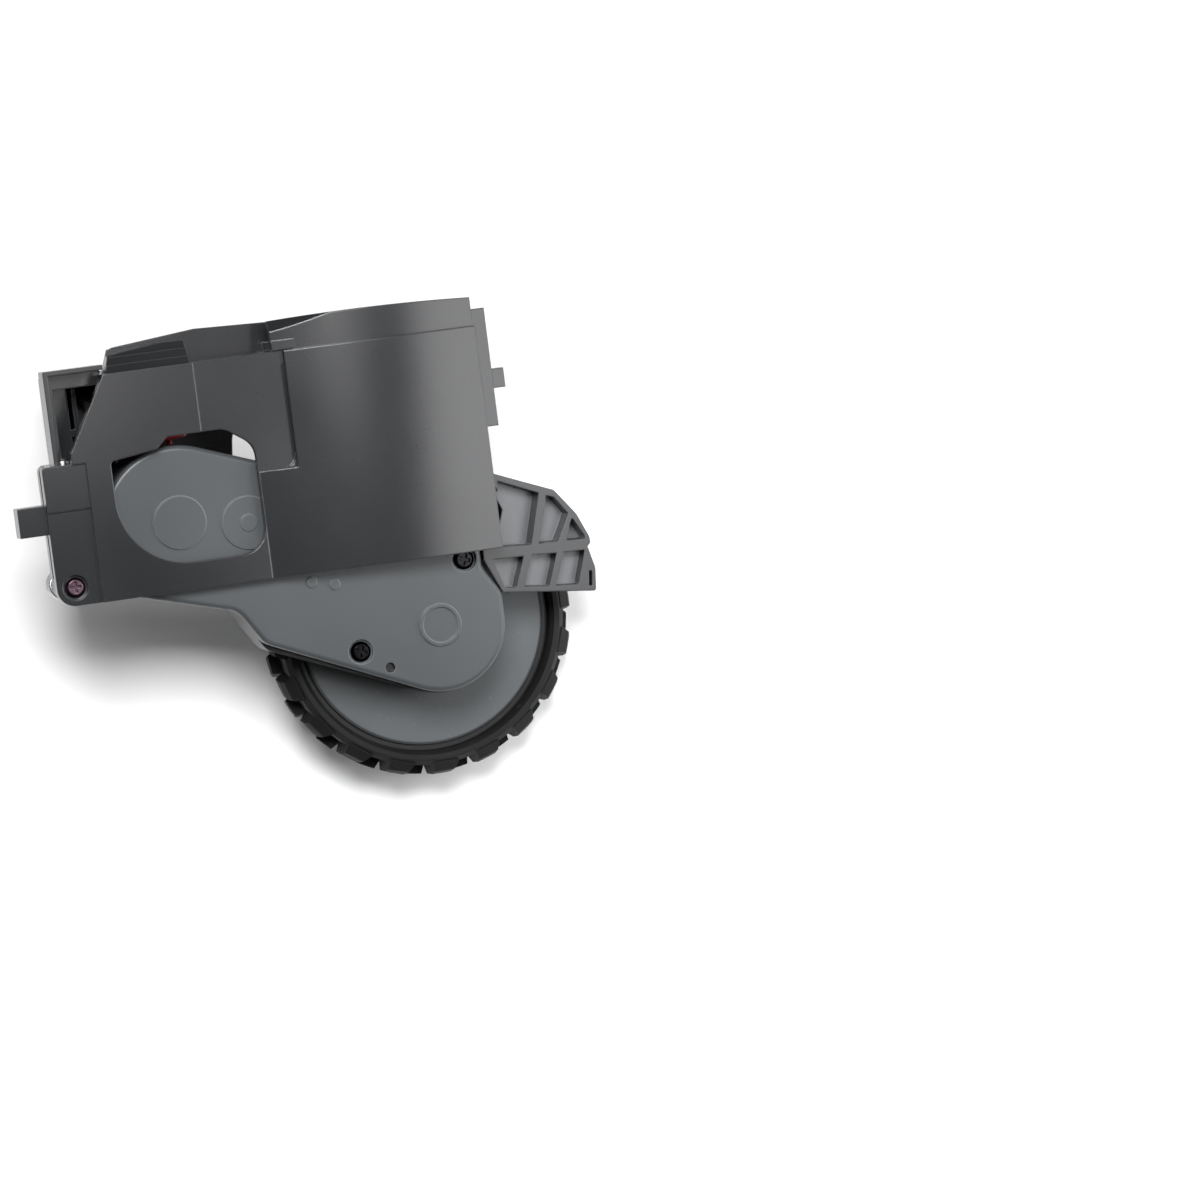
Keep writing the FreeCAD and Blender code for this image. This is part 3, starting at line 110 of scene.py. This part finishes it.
class Finish:
    """A procedural material built up socket by socket."""

    def __init__(self, name, roughness, **values):
        self.material = bpy.data.materials.new(name)
        self.material.use_nodes = True
        self.tree = self.material.node_tree
        self.shader = self.tree.nodes["Principled BSDF"]
        self.shader.inputs["Roughness"].default_value = roughness
        for socket, value in values.items():
            self.shader.inputs[socket.replace("_", " ")].default_value = value
        coordinates = self.tree.nodes.new("ShaderNodeTexCoord")
        self.place = coordinates.outputs["Object"]
        self.facing = coordinates.outputs["Normal"]
        self.tone = None

    def node(self, kind, **values):
        """A node with its settings and its inputs set by name."""
        made = self.tree.nodes.new(kind)
        for name, value in values.items():
            if hasattr(made, name):
                setattr(made, name, value)
            else:
                made.inputs[name.replace("_", " ")].default_value = value
        return made

    def link(self, source, target):
        self.tree.links.new(source, target)

    def worked_out(self, kind, given, **values):
        """A math node whose inputs are other nodes' outputs or plain values."""
        made = self.node(kind, **values)
        for socket, source in zip(made.inputs, given):
            if isinstance(source, bpy.types.NodeSocket):
                self.link(source, socket)
            else:
                socket.default_value = source
        return made.outputs

    def number(self, operation, *given, **values):
        return self.worked_out("ShaderNodeMath", given, operation=operation, **values)["Value"]

    def vector(self, operation, *given):
        return self.worked_out("ShaderNodeVectorMath", given, operation=operation)["Vector"]

    def measure(self, operation, *given):
        """Number that vectors give, such as a length or a dot product."""
        return self.worked_out("ShaderNodeVectorMath", given, operation=operation)["Value"]

    def axes(self, source):
        """X, Y and Z of a vector."""
        made = self.node("ShaderNodeSeparateXYZ")
        self.link(source, made.inputs["Vector"])
        return made.outputs

    def spread(self, source, **limits):
        """A number moved from one range, by default 0 to 1, to another."""
        made = self.node("ShaderNodeMapRange", **limits)
        self.link(source, made.inputs["Value"])
        return made.outputs["Result"]

    def noise(self, scale, detail=3.0, stretch=None):
        texture = self.node("ShaderNodeTexNoise", Scale=scale, Detail=detail)
        place = self.place
        if stretch:
            mapping = self.node("ShaderNodeMapping")
            mapping.inputs["Scale"].default_value = stretch
            self.link(place, mapping.inputs["Vector"])
            place = mapping.outputs["Vector"]
        self.link(place, texture.inputs["Vector"])
        return texture.outputs["Fac"]

    def ramp(self, source, low, high):
        """Colour that goes from one (position, colour) to another."""
        made = self.tree.nodes.new("ShaderNodeValToRGB")
        for element, (position, colour) in zip(made.color_ramp.elements, (low, high)):
            element.position = position
            element.color = colour
        self.link(source, made.inputs["Fac"])
        return made.outputs["Color"]

    def colour(self, low, high, scale):
        """Base colour that drifts between two tones."""
        self.tone = self.ramp(self.noise(scale), (DRIFT_FROM, low), (DRIFT_TO, high))
        self.link(self.tone, self.shader.inputs["Base Color"])

    def over(self, mask, colour):
        """Lays another tone over the base colour where the mask is one."""
        mix = self.node("ShaderNodeMix", data_type="RGBA")
        self.link(mask, mix.inputs["Factor"])
        self.link(self.tone, mix.inputs[MIX_FIRST])
        mix.inputs[MIX_SECOND].default_value = colour
        self.tone = mix.outputs[MIX_RESULT]
        self.link(self.tone, self.shader.inputs["Base Color"])

    def wear(self, colour, scale, amount):
        """Thin scattered rubs in another tone over the base colour."""
        rubs = self.ramp(self.noise(scale, 6.0), (RUB_FROM, grey(0.0)), (RUB_TO, grey(amount)))
        self.over(rubs, colour)

    def pale_edges_of_wear_and_highlight(self, colour, width, amount):
        """Another tone along the edges, as far in as the width, broken up here and there; partly rubbed
        wear and partly a painted edge highlight.
        """
        bevel = self.node("ShaderNodeBevel", samples=BEVEL_SAMPLES, Radius=width)
        surface = self.node("ShaderNodeNewGeometry")
        turn = self.measure("DOT_PRODUCT", bevel.outputs["Normal"], surface.outputs["True Normal"])
        edge = self.ramp(turn, (EDGE_FULL, grey(amount)), (EDGE_GONE, grey(0.0)))
        broken = self.spread(self.noise(EDGE_BREAKS_SCALE), To_Min=EDGE_FAINTEST, To_Max=EDGE_STRONGEST)
        self.over(self.number("MULTIPLY", edge, broken, use_clamp=True), colour)

    def painted_shade_round_zone(self, colour, centre, radius, inside=True):
        """Painted shade: another tone inside, or outside, a round zone seen along the wheel's axle."""
        spoke = self.vector("SUBTRACT", self.place, centre)
        length = self.measure("LENGTH", self.vector("MULTIPLY", spoke, (1.0, 0.0, 1.0)))
        within, beyond = (1.0, 0.0) if inside else (0.0, 1.0)
        self.over(self.spread(length, From_Min=radius - ZONE_BLUR, From_Max=radius + ZONE_BLUR,
                              To_Min=within, To_Max=beyond), colour)

    def painted_reflection_box(self, colour, low, high):
        """Painted reflection: a paler tone on the front-facing surfaces inside a box with two opposite
        corners.
        """
        reach = self.vector("ABSOLUTE", self.vector("SUBTRACT", self.place, (low + high) / 2))
        x, y, z = self.axes(self.vector("SUBTRACT", reach, (high - low) / 2))
        farthest = self.number("MAXIMUM", self.number("MAXIMUM", x, y), z)
        inside = self.spread(farthest, From_Min=-ZONE_BLUR, From_Max=ZONE_BLUR, To_Min=1.0, To_Max=0.0)
        front = self.spread(self.axes(self.facing)["Y"], From_Min=FACING_FULL, From_Max=FACING_NONE,
                            To_Min=1.0, To_Max=0.0)
        self.over(self.number("MULTIPLY", inside, front), colour)

    def gloss(self, low, high, scale):
        """Roughness that varies from place to place."""
        self.link(self.spread(self.noise(scale), To_Min=low, To_Max=high), self.shader.inputs["Roughness"])

    def grain(self, scale, strength, depth, soft_edge, stretch=None):
        """Fine relief, with edges rounded as far in as soft_edge."""
        bump = self.node("ShaderNodeBump", Strength=strength, Distance=depth)
        self.link(self.noise(scale, 4.0, stretch), bump.inputs["Height"])
        if soft_edge:
            bevel = self.node("ShaderNodeBevel", samples=BEVEL_SAMPLES, Radius=soft_edge)
            self.link(bevel.outputs["Normal"], bump.inputs["Normal"])
        self.link(bump.outputs["Normal"], self.shader.inputs["Normal"])

    def shaders_mixed(self, share, first, second):
        """Two shaders mixed, with the second one's share."""
        made = self.node("ShaderNodeMixShader")
        for source, target in zip((share, first, second), made.inputs):
            self.link(source, target)
        return made.outputs["Shader"]


# How many times each pattern of a moulding repeats in a metre
DRIFT_SCALE = 18.0
SHINE_SCALE = 40.0
RUB_SCALE = 1100.0
GRAIN_SCALE = 2600.0

# Share of the other tone in rubs, and along edges, where the pale tone is partly wear and partly a painted
# highlight
RUB_SHARE = 0.22
EDGE_WEAR_AND_HIGHLIGHT_SHARE = 0.7

PLASTIC_EDGE = 0.4 * MM
METAL_EDGE = 0.2 * MM

# Zones of another tone: painted shade in the cover's drain hole and in the groove beyond the hub's grey
# disc, and a painted reflection on the panels between the ribs of the guard over the tyre
DRAIN_HOLE_SHADE_CENTRE, DRAIN_HOLE_SHADE_RADIUS = at(-12.7, -26, -8.0), 1.15 * MM
DISC_RADIUS = 28.55 * MM
REFLECTION_PANELS_LOW, REFLECTION_PANELS_HIGH = at(8, -21.2, 0), at(50, -17.6, 40)


def moulded_skin(finish, shiniest, dullest, soft_edge=PLASTIC_EDGE):
    """Uneven shine and fine grain of a moulding."""
    finish.gloss(shiniest, dullest, SHINE_SCALE)
    finish.grain(GRAIN_SCALE, 0.12, 0.06 * MM, soft_edge)


def plastic(name, dark, light, roughness, soft_edge=PLASTIC_EDGE, sheen=0.3):
    """Moulding that drifts between two tones, with rubs and, where its edges are soft, pale edges that are
    partly wear and partly painted highlight.
    """
    finish = Finish(name, roughness, Specular_IOR_Level=sheen)
    finish.colour(dark, light, DRIFT_SCALE)
    finish.wear(brighter(light, 1.6), RUB_SCALE, RUB_SHARE)
    # Pale edges: partly rubbed wear, partly a painted highlight along every convex edge
    if soft_edge:
        finish.pale_edges_of_wear_and_highlight(brighter(light, 4.0, 0.02, 0.9), PLASTIC_EDGE, EDGE_WEAR_AND_HIGHLIGHT_SHARE)
    moulded_skin(finish, roughness - 0.03, roughness + 0.04, soft_edge)
    return finish


def disc_plastic():
    """The hub's grey disc, with painted shade: near black in the groove that runs round it inside the
    tyre.
    """
    finish = Finish("disc_plastic", 0.36, Specular_IOR_Level=0.3)
    finish.colour(linear(68, 71, 73), linear(76, 79, 81), DRIFT_SCALE)
    finish.wear(linear(112, 116, 118), RUB_SCALE, RUB_SHARE)
    # Painted shade: near black all beyond the disc's edge, in the groove inside the tyre
    finish.painted_shade_round_zone(linear(13, 13, 14), AXLE, DISC_RADIUS, inside=False)
    moulded_skin(finish, 0.32, 0.4)
    return finish


def tread_rubber():
    """Dull black rubber with a little dust."""
    finish = Finish("tread_rubber", 0.62, Specular_IOR_Level=0.2)
    finish.colour(linear(12, 12, 13), linear(19, 19, 20), 60.0)
    finish.wear(linear(60, 59, 57), 300.0, 0.3)
    finish.gloss(0.52, 0.78, 120.0)
    finish.grain(1500.0, 0.3, 0.1 * MM, 0.3 * MM)
    return finish


def metal(name, dark, light, roughness, stretch=None):
    """Metal that drifts between two tones, with its relief repeated more often where stretch says."""
    finish = Finish(name, roughness, Metallic=1.0)
    finish.colour(dark, light, 90.0)
    finish.gloss(roughness - 0.06, roughness + 0.1, 160.0)
    finish.grain(900.0, 0.08, 0.04 * MM, METAL_EDGE, stretch)
    return finish


def materials():
    """One finish for each kind of piece."""
    finishes = {
        "housing": plastic("housing_plastic", linear(24, 25, 27), linear(30, 31, 33), 0.2, sheen=0.5),
        "cover": plastic("cover_plastic", linear(58, 61, 63), linear(67, 70, 72), 0.32),
        "base": plastic("base_plastic", linear(28, 29, 31), linear(34, 35, 37), 0.3, sheen=0.5),
        "disc": disc_plastic(),
        "rubber": tread_rubber(),
        "black": plastic("black_plastic", linear(22, 22, 24), linear(34, 34, 36), 0.45),
        "gear": plastic("gear_nylon", linear(36, 36, 38), linear(46, 46, 48), 0.35, 0.1 * MM),
        "board": plastic("board_resin", linear(20, 66, 44), linear(30, 84, 56), 0.35),
        "steel": metal("bright_steel", linear(176, 176, 178), linear(206, 206, 208), 0.24),
        "can": metal("zinc_can", linear(150, 152, 154), linear(184, 186, 188), 0.34, (1, 30, 1)),
        "oxide": metal("black_oxide", linear(12, 12, 13), linear(34, 34, 36), 0.16),
        "pink": metal("pivot_plating", linear(78, 60, 70), linear(118, 98, 106), 0.28),
        "solder": metal("tin_solder", linear(168, 170, 172), linear(198, 200, 202), 0.3),
        "brass": metal("contact_brass", linear(190, 150, 74), linear(214, 176, 96), 0.25),
        "magnet": plastic("magnet_ferrite", linear(48, 48, 50), linear(60, 60, 62), 0.5),
        "red": plastic("red_lead", linear(124, 24, 26), linear(146, 34, 34), 0.42, 0.0),
        "black_lead": plastic("black_lead", linear(18, 18, 19), linear(28, 28, 30), 0.42, 0.0),
    }
    # Painted shade: a near-black disc on the cover stands for the dark inside of the drain hole
    finishes["cover"].painted_shade_round_zone(linear(8, 8, 8), DRAIN_HOLE_SHADE_CENTRE, DRAIN_HOLE_SHADE_RADIUS)
    # Painted reflection: a paler tone on the front-facing panels between the guard's ribs
    finishes["base"].painted_reflection_box(linear(84, 86, 89), REFLECTION_PANELS_LOW, REFLECTION_PANELS_HIGH)
    return {key: finish.material for key, finish in finishes.items()}


NODE_FINISH = {
    "housing": "housing", "gearbox_cover": "cover", "gearbox_base": "base", "wheel_hub": "disc",
    "tyre": "rubber", "cover_screws": "oxide", "pivot_screw": "pink", "block_screw": "steel",
    "motor_pinion": "brass", "gear_1": "gear", "gear_2": "gear", "gear_3": "gear",
    "output_gear": "gear", "idler_shafts": "steel", "front_bush": "brass", "rear_bush": "brass",
    "wheel_axle": "steel", "axle_washer": "steel", "axle_screw": "steel", "motor_can": "can",
    "motor_end_cap": "black", "motor_terminals": "brass", "motor_shaft": "steel",
    "encoder_magnet": "magnet", "encoder_board": "board", "motor_screws": "steel",
    "return_spring": "steel", "switch_body": "black", "switch_plunger": "red",
    "switch_lever": "steel", "red_wire": "red", "black_wire": "black_lead",
    "connector_block": "black", "connector_contacts": "brass",
}


def dress(finishes):
    """Gives each CAD node its finish, which the copies of the nodes take over."""
    for node, key in NODE_FINISH.items():
        shown = frame["nodes"][node]
        shown.data.materials.clear()
        shown.data.materials.append(finishes[key])


def select_only(piece):
    """Leaves this piece alone selected, and makes it the active one."""
    bpy.ops.object.select_all(action="DESELECT")
    piece.select_set(True)
    bpy.context.view_layer.objects.active = piece


# Copies of the leads and the spring, shown in place of their CAD nodes

# Level cuts that let the leads bend, in millimetres above the wheel centre
CUT_LOWEST, CUT_PITCH, CUT_COUNT = 33.0, 1.5, 18
LEAD_CUTS = [(at(0, 0, CUT_LOWEST + CUT_PITCH * step), (0, 0, 1)) for step in range(CUT_COUNT)]

LEAD_FRONT = at(0, -8, 0).y
RED_LEAD_SET_BACK = 6.6 * MM
MERGE_DISTANCE = 0.001 * MM


def flexible_copy(node, name, cuts=()):
    """Closed copy of a CAD node, cut through at each (point, normal) so that it can bend there."""
    shown = frame["nodes"][node]
    piece = bpy.data.objects.new(name, shown.data.copy())
    bpy.context.collection.objects.link(piece)
    select_only(piece)
    bpy.ops.object.mode_set(mode="EDIT")
    bpy.ops.mesh.select_all(action="SELECT")
    bpy.ops.mesh.remove_doubles(threshold=MERGE_DISTANCE)
    for point, normal in cuts:
        bpy.ops.mesh.select_all(action="SELECT")
        bpy.ops.mesh.bisect(plane_co=point, plane_no=normal)
    bpy.ops.mesh.select_all(action="DESELECT")
    bpy.ops.mesh.select_mode(type="VERT")
    bpy.ops.object.mode_set(mode="OBJECT")
    bpy.ops.object.shade_smooth_by_angle(angle=SMOOTH_ANGLE)
    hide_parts(node)
    return piece


def clear_of_switch(piece, distance):
    """Moves the front run of a lead backwards, so that it passes the switch at a distance."""
    for vertex in piece.data.vertices:
        vertex.select = vertex.co.y < LEAD_FRONT
    bpy.ops.object.mode_set(mode="EDIT")
    bpy.ops.transform.translate(value=(0, distance, 0))
    bpy.ops.object.mode_set(mode="OBJECT")


def motor_leads():
    """The leads are soldered to the swinging motor and end in the fixed plug."""
    for node, name, set_back in (("red_wire", "red_lead", RED_LEAD_SET_BACK),
                                 ("black_wire", "black_lead", 0.0)):
        lead = flexible_copy(node, name, LEAD_CUTS)
        clear_of_switch(lead, set_back)
        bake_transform(lead)


def torsion_spring():
    """Closed copy of the return spring in place of its CAD node; one end rests on the housing and the
    other on the arm.
    """
    coil = flexible_copy("return_spring", "torsion_spring")
    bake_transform(coil)


# Small parts on the motor's encoder board and terminals, in millimetres from the wheel centre

MOTOR_X, MOTOR_Z = -56.1, 31.0
BOARD_REAR_Y = 16.0
TERMINAL_Y = 12.6
TERMINAL_SIDE = 6.5
SOLDER_RADIUS = 0.95
SOLDER_SHAPE = (1.0, 1.35, 0.85)
SOLDER_LIFT = 0.25

CHIP_WIDE, CHIP_THICK, CHIP_TALL = 3.9, 1.3, 4.9
CHIP_CLEARANCE = 0.1
LEG_COUNT = 8
LEG_PITCH = 1.27
LEG_LONG, LEG_THICK, LEG_WIDE = 0.7, 0.2, 0.4
LEG_HEIGHT = 0.6
LEG_DROP, LEG_SLANT, LEG_FOOT = 0.45, 0.25, 0.4

# Share of a block's shortest side that its rounded edges take
BLOCK_ROUNDING = 0.12


def block(centre, *size):
    """Box round a point, with its size in millimetres and all its edges rounded over."""
    bpy.ops.object.select_all(action="DESELECT")
    bpy.ops.mesh.primitive_cube_add(size=1.0, location=centre)
    piece = bpy.context.object
    piece.scale = Vector(size) * MM
    bpy.ops.object.transform_apply(location=False, rotation=False, scale=True)
    bpy.ops.object.mode_set(mode="EDIT")
    bpy.ops.mesh.select_all(action="SELECT")
    bpy.ops.mesh.bevel(offset=BLOCK_ROUNDING * min(size) * MM, segments=2, affect="EDGES")
    bpy.ops.object.mode_set(mode="OBJECT")
    return piece


def copies(piece, count):
    """The piece and copies of it, as many as count in all, each with its own mesh."""
    made = [piece]
    while len(made) < count:
        select_only(piece)
        bpy.ops.object.duplicate()
        made.append(bpy.context.object)
    return made


def finished(piece, name, material):
    """Puts the piece's place into its mesh, smooths it and lets it ride with the motor."""
    select_only(piece)
    bpy.ops.object.transform_apply(location=True, rotation=True, scale=True)
    bpy.ops.object.shade_smooth_by_angle(angle=SMOOTH_ANGLE)
    piece.name = name
    piece.data.materials.append(material)
    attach(piece, "arm")


def encoder_leg():
    """Leg for the chip's right side, which slants down towards the board and ends in a flat foot."""
    leg = block((0, 0, 0), LEG_LONG, LEG_THICK, LEG_WIDE)
    bpy.ops.object.mode_set(mode="EDIT")
    bpy.ops.mesh.select_all(action="DESELECT")
    bpy.ops.mesh.select_mode(type="FACE")
    bpy.ops.object.mode_set(mode="OBJECT")
    outer = max(leg.data.polygons, key=lambda face: face.center.x)
    outer.select = True
    bpy.ops.object.mode_set(mode="EDIT")
    for along, down in ((LEG_SLANT, LEG_DROP), (LEG_FOOT, 0.0)):
        bpy.ops.mesh.extrude_region_move(TRANSFORM_OT_translate={"value": (along * MM, -down * MM, 0)})
    bpy.ops.mesh.select_all(action="SELECT")
    bpy.ops.mesh.normals_make_consistent(inside=False)
    bpy.ops.object.mode_set(mode="OBJECT")
    return leg


def encoder_chip(finishes):
    """Sensor chip with its eight bent legs, on the rear of the board."""
    body = block(at(MOTOR_X, BOARD_REAR_Y + CHIP_CLEARANCE + CHIP_THICK / 2, MOTOR_Z),
                 CHIP_WIDE, CHIP_THICK, CHIP_TALL)
    finished(body, "encoder_chip", finishes["black"])
    row = LEG_COUNT // 2
    for index, leg in enumerate(copies(encoder_leg(), LEG_COUNT)):
        side = -1 if index < row else 1
        across = side * (CHIP_WIDE + LEG_LONG) / 2
        along = (index % row - (row - 1) / 2) * LEG_PITCH
        leg.location = at(MOTOR_X + across, BOARD_REAR_Y + LEG_HEIGHT, MOTOR_Z + along)
        leg.rotation_euler.y = math.pi if side < 0 else 0.0
        finished(leg, f"encoder_leg_{index + 1}", finishes["solder"])


def terminal_solder(finishes):
    """Tin that holds each lead on its terminal tab."""
    bpy.ops.object.select_all(action="DESELECT")
    bpy.ops.mesh.primitive_uv_sphere_add(segments=20, ring_count=12, radius=SOLDER_RADIUS * MM,
                                         location=(0, 0, 0))
    blob = bpy.context.object
    bpy.ops.object.mode_set(mode="EDIT")
    bpy.ops.mesh.select_all(action="SELECT")
    bpy.ops.transform.resize(value=SOLDER_SHAPE, center_override=(0, 0, 0))
    bpy.ops.object.mode_set(mode="OBJECT")
    for drop, name, side in zip(copies(blob, 2), ("left", "right"), (-1, 1)):
        drop.location = at(MOTOR_X + side * TERMINAL_SIDE, TERMINAL_Y, MOTOR_Z + SOLDER_LIFT)
        finished(drop, f"terminal_solder_{name}", finishes["solder"])


# View

CAMERA_AZIMUTH = math.radians(-13.5)
CAMERA_ELEVATION = math.radians(4.2)
CAMERA_ROLL = math.radians(-7.2)
CAMERA_DISTANCE = 1.372
CAMERA_LENS = 180.0
CAMERA_TARGET = at(39.0, -20.0, -0.1)


def camera_axes():
    """Right, up and backward directions of the camera."""
    a, e, r = CAMERA_AZIMUTH, CAMERA_ELEVATION, CAMERA_ROLL
    back = Vector((math.sin(a) * math.cos(e), -math.cos(a) * math.cos(e), math.sin(e)))
    level = Vector((math.cos(a), math.sin(a), 0.0))
    upright = back.cross(level)
    right = level * math.cos(r) + upright * math.sin(r)
    up = upright * math.cos(r) - level * math.sin(r)
    return right, up, back


RIGHT, UP, BACK = camera_axes()


def turned(right, up, back):
    """Turn that brings X, Y and Z to these directions."""
    return Matrix((right, up, back)).transposed().to_4x4()


def camera():
    data = bpy.data.cameras.new("view")
    data.lens = CAMERA_LENS
    data.sensor_width = 36.0
    data.clip_start = 0.05
    data.clip_end = 20.0
    eye = bpy.data.objects.new("view", data)
    bpy.context.collection.objects.link(eye)
    spot = CAMERA_TARGET + BACK * CAMERA_DISTANCE
    eye.matrix_world = Matrix.Translation(spot) @ turned(RIGHT, UP, BACK)
    bpy.context.scene.camera = eye


# Table

TABLE_SIZE = 3.0
TABLE_SINK = 1.0 * MM
GLOW_LOW, GLOW_HIGH = 0.03, 0.8
GLOW_MIDDLE = at(0, 0, 30).dot(UP)
GLOW_REACH = 30.0 * MM


def paper():
    """White table paper that glows, more towards the top of the view.

    It is clear from its underside and to shadow rays, so the lamp under it lights the module's rear.
    """
    finish = Finish("table_paper", 0.9, Specular_IOR_Level=0.1)
    finish.colour(linear(249, 249, 249), linear(252, 252, 252), 3.0)
    finish.grain(300.0, 0.02, 0.1 * MM, 0.0)
    height = finish.measure("DOT_PRODUCT", finish.place, UP)
    glow = finish.spread(height, From_Min=GLOW_MIDDLE - GLOW_REACH, From_Max=GLOW_MIDDLE + GLOW_REACH,
                         To_Min=GLOW_LOW, To_Max=GLOW_HIGH)
    rays = finish.node("ShaderNodeLightPath").outputs
    seen = finish.number("MAXIMUM", rays["Is Camera Ray"], rays["Is Glossy Ray"])
    seen = finish.number("MAXIMUM", seen, rays["Is Transmission Ray"])
    white = finish.node("ShaderNodeEmission").outputs["Emission"]
    lit = finish.shaders_mixed(finish.number("MULTIPLY", seen, glow), finish.shader.outputs["BSDF"], white)
    underside = finish.node("ShaderNodeNewGeometry").outputs["Backfacing"]
    open_to = finish.number("MAXIMUM", underside, rays["Is Shadow Ray"])
    clear = finish.node("ShaderNodeBsdfTransparent").outputs["BSDF"]
    shown = finish.shaders_mixed(open_to, lit, clear)
    finish.link(shown, finish.tree.nodes["Material Output"].inputs["Surface"])
    return finish.material


def table():
    """The module lies on its back, so the table is square to the view and holds its rear."""
    bpy.ops.object.select_all(action="DESELECT")
    bpy.ops.mesh.primitive_plane_add(size=TABLE_SIZE, location=(0, 0, 0))
    top = bpy.context.object
    top.name = "table"
    rear = min((piece.matrix_world @ vertex.co).dot(BACK)
               for piece in bpy.data.objects if piece.type == "MESH" and piece is not top
               for vertex in piece.data.vertices)
    spot = CAMERA_TARGET + BACK * (rear + TABLE_SINK - CAMERA_TARGET.dot(BACK))
    top.data.transform(Matrix.Translation(spot) @ turned(RIGHT, UP, BACK))
    top.data.materials.append(paper())


# Light

WORLD_LEVEL = 0.16
MODULE_MIDDLE = at(-20, -15, 20)

# Each lamp's name, place, aim, width and height in metres, and power in watts
LAMPS = (
    ("key", MODULE_MIDDLE + UP * 0.3 + BACK, MODULE_MIDDLE, 0.34, 0.3, 14.0),
    ("right_softbox", at(105, -320, 50), at(0, -30, 40), 0.12, 0.18, 0.36),
    ("left_softbox", at(-32, -320, 100), at(-20, -30, 45), 0.05, 0.13, 0.06),
    ("rear_softbox", MODULE_MIDDLE - BACK * 0.7 + UP * 0.2 + RIGHT * 0.2, MODULE_MIDDLE, 0.5, 0.5, 6.0),
    ("right_fill", at(330, -260, 10), at(20, -20, 10), 0.25, 0.3, 1.3),
)


def area_light(name, spot, aim, wide, tall, power):
    """Soft lamp at a spot, turned towards a point, upright in the picture."""
    data = bpy.data.lights.new(name, "AREA")
    data.shape = "RECTANGLE"
    data.size = wide
    data.size_y = tall
    data.energy = power
    lamp = bpy.data.objects.new(name, data)
    bpy.context.collection.objects.link(lamp)
    facing = (spot - aim).normalized()
    across = UP.cross(facing).normalized()
    lamp.matrix_world = Matrix.Translation(spot) @ turned(across, facing.cross(across), facing)


def studio():
    """Faint even light from all round, and the lamps."""
    world = bpy.data.worlds.new("studio")
    bpy.context.scene.world = world
    world.use_nodes = True
    world.node_tree.nodes["Background"].inputs["Color"].default_value = grey(1.0)
    world.node_tree.nodes["Background"].inputs["Strength"].default_value = WORLD_LEVEL
    bpy.context.scene.view_settings.view_transform = "Standard"
    for lamp in LAMPS:
        area_light(*lamp)


finishes = materials()
dress(finishes)
motor_leads()
torsion_spring()
encoder_chip(finishes)
terminal_solder(finishes)
camera()
table()
studio()
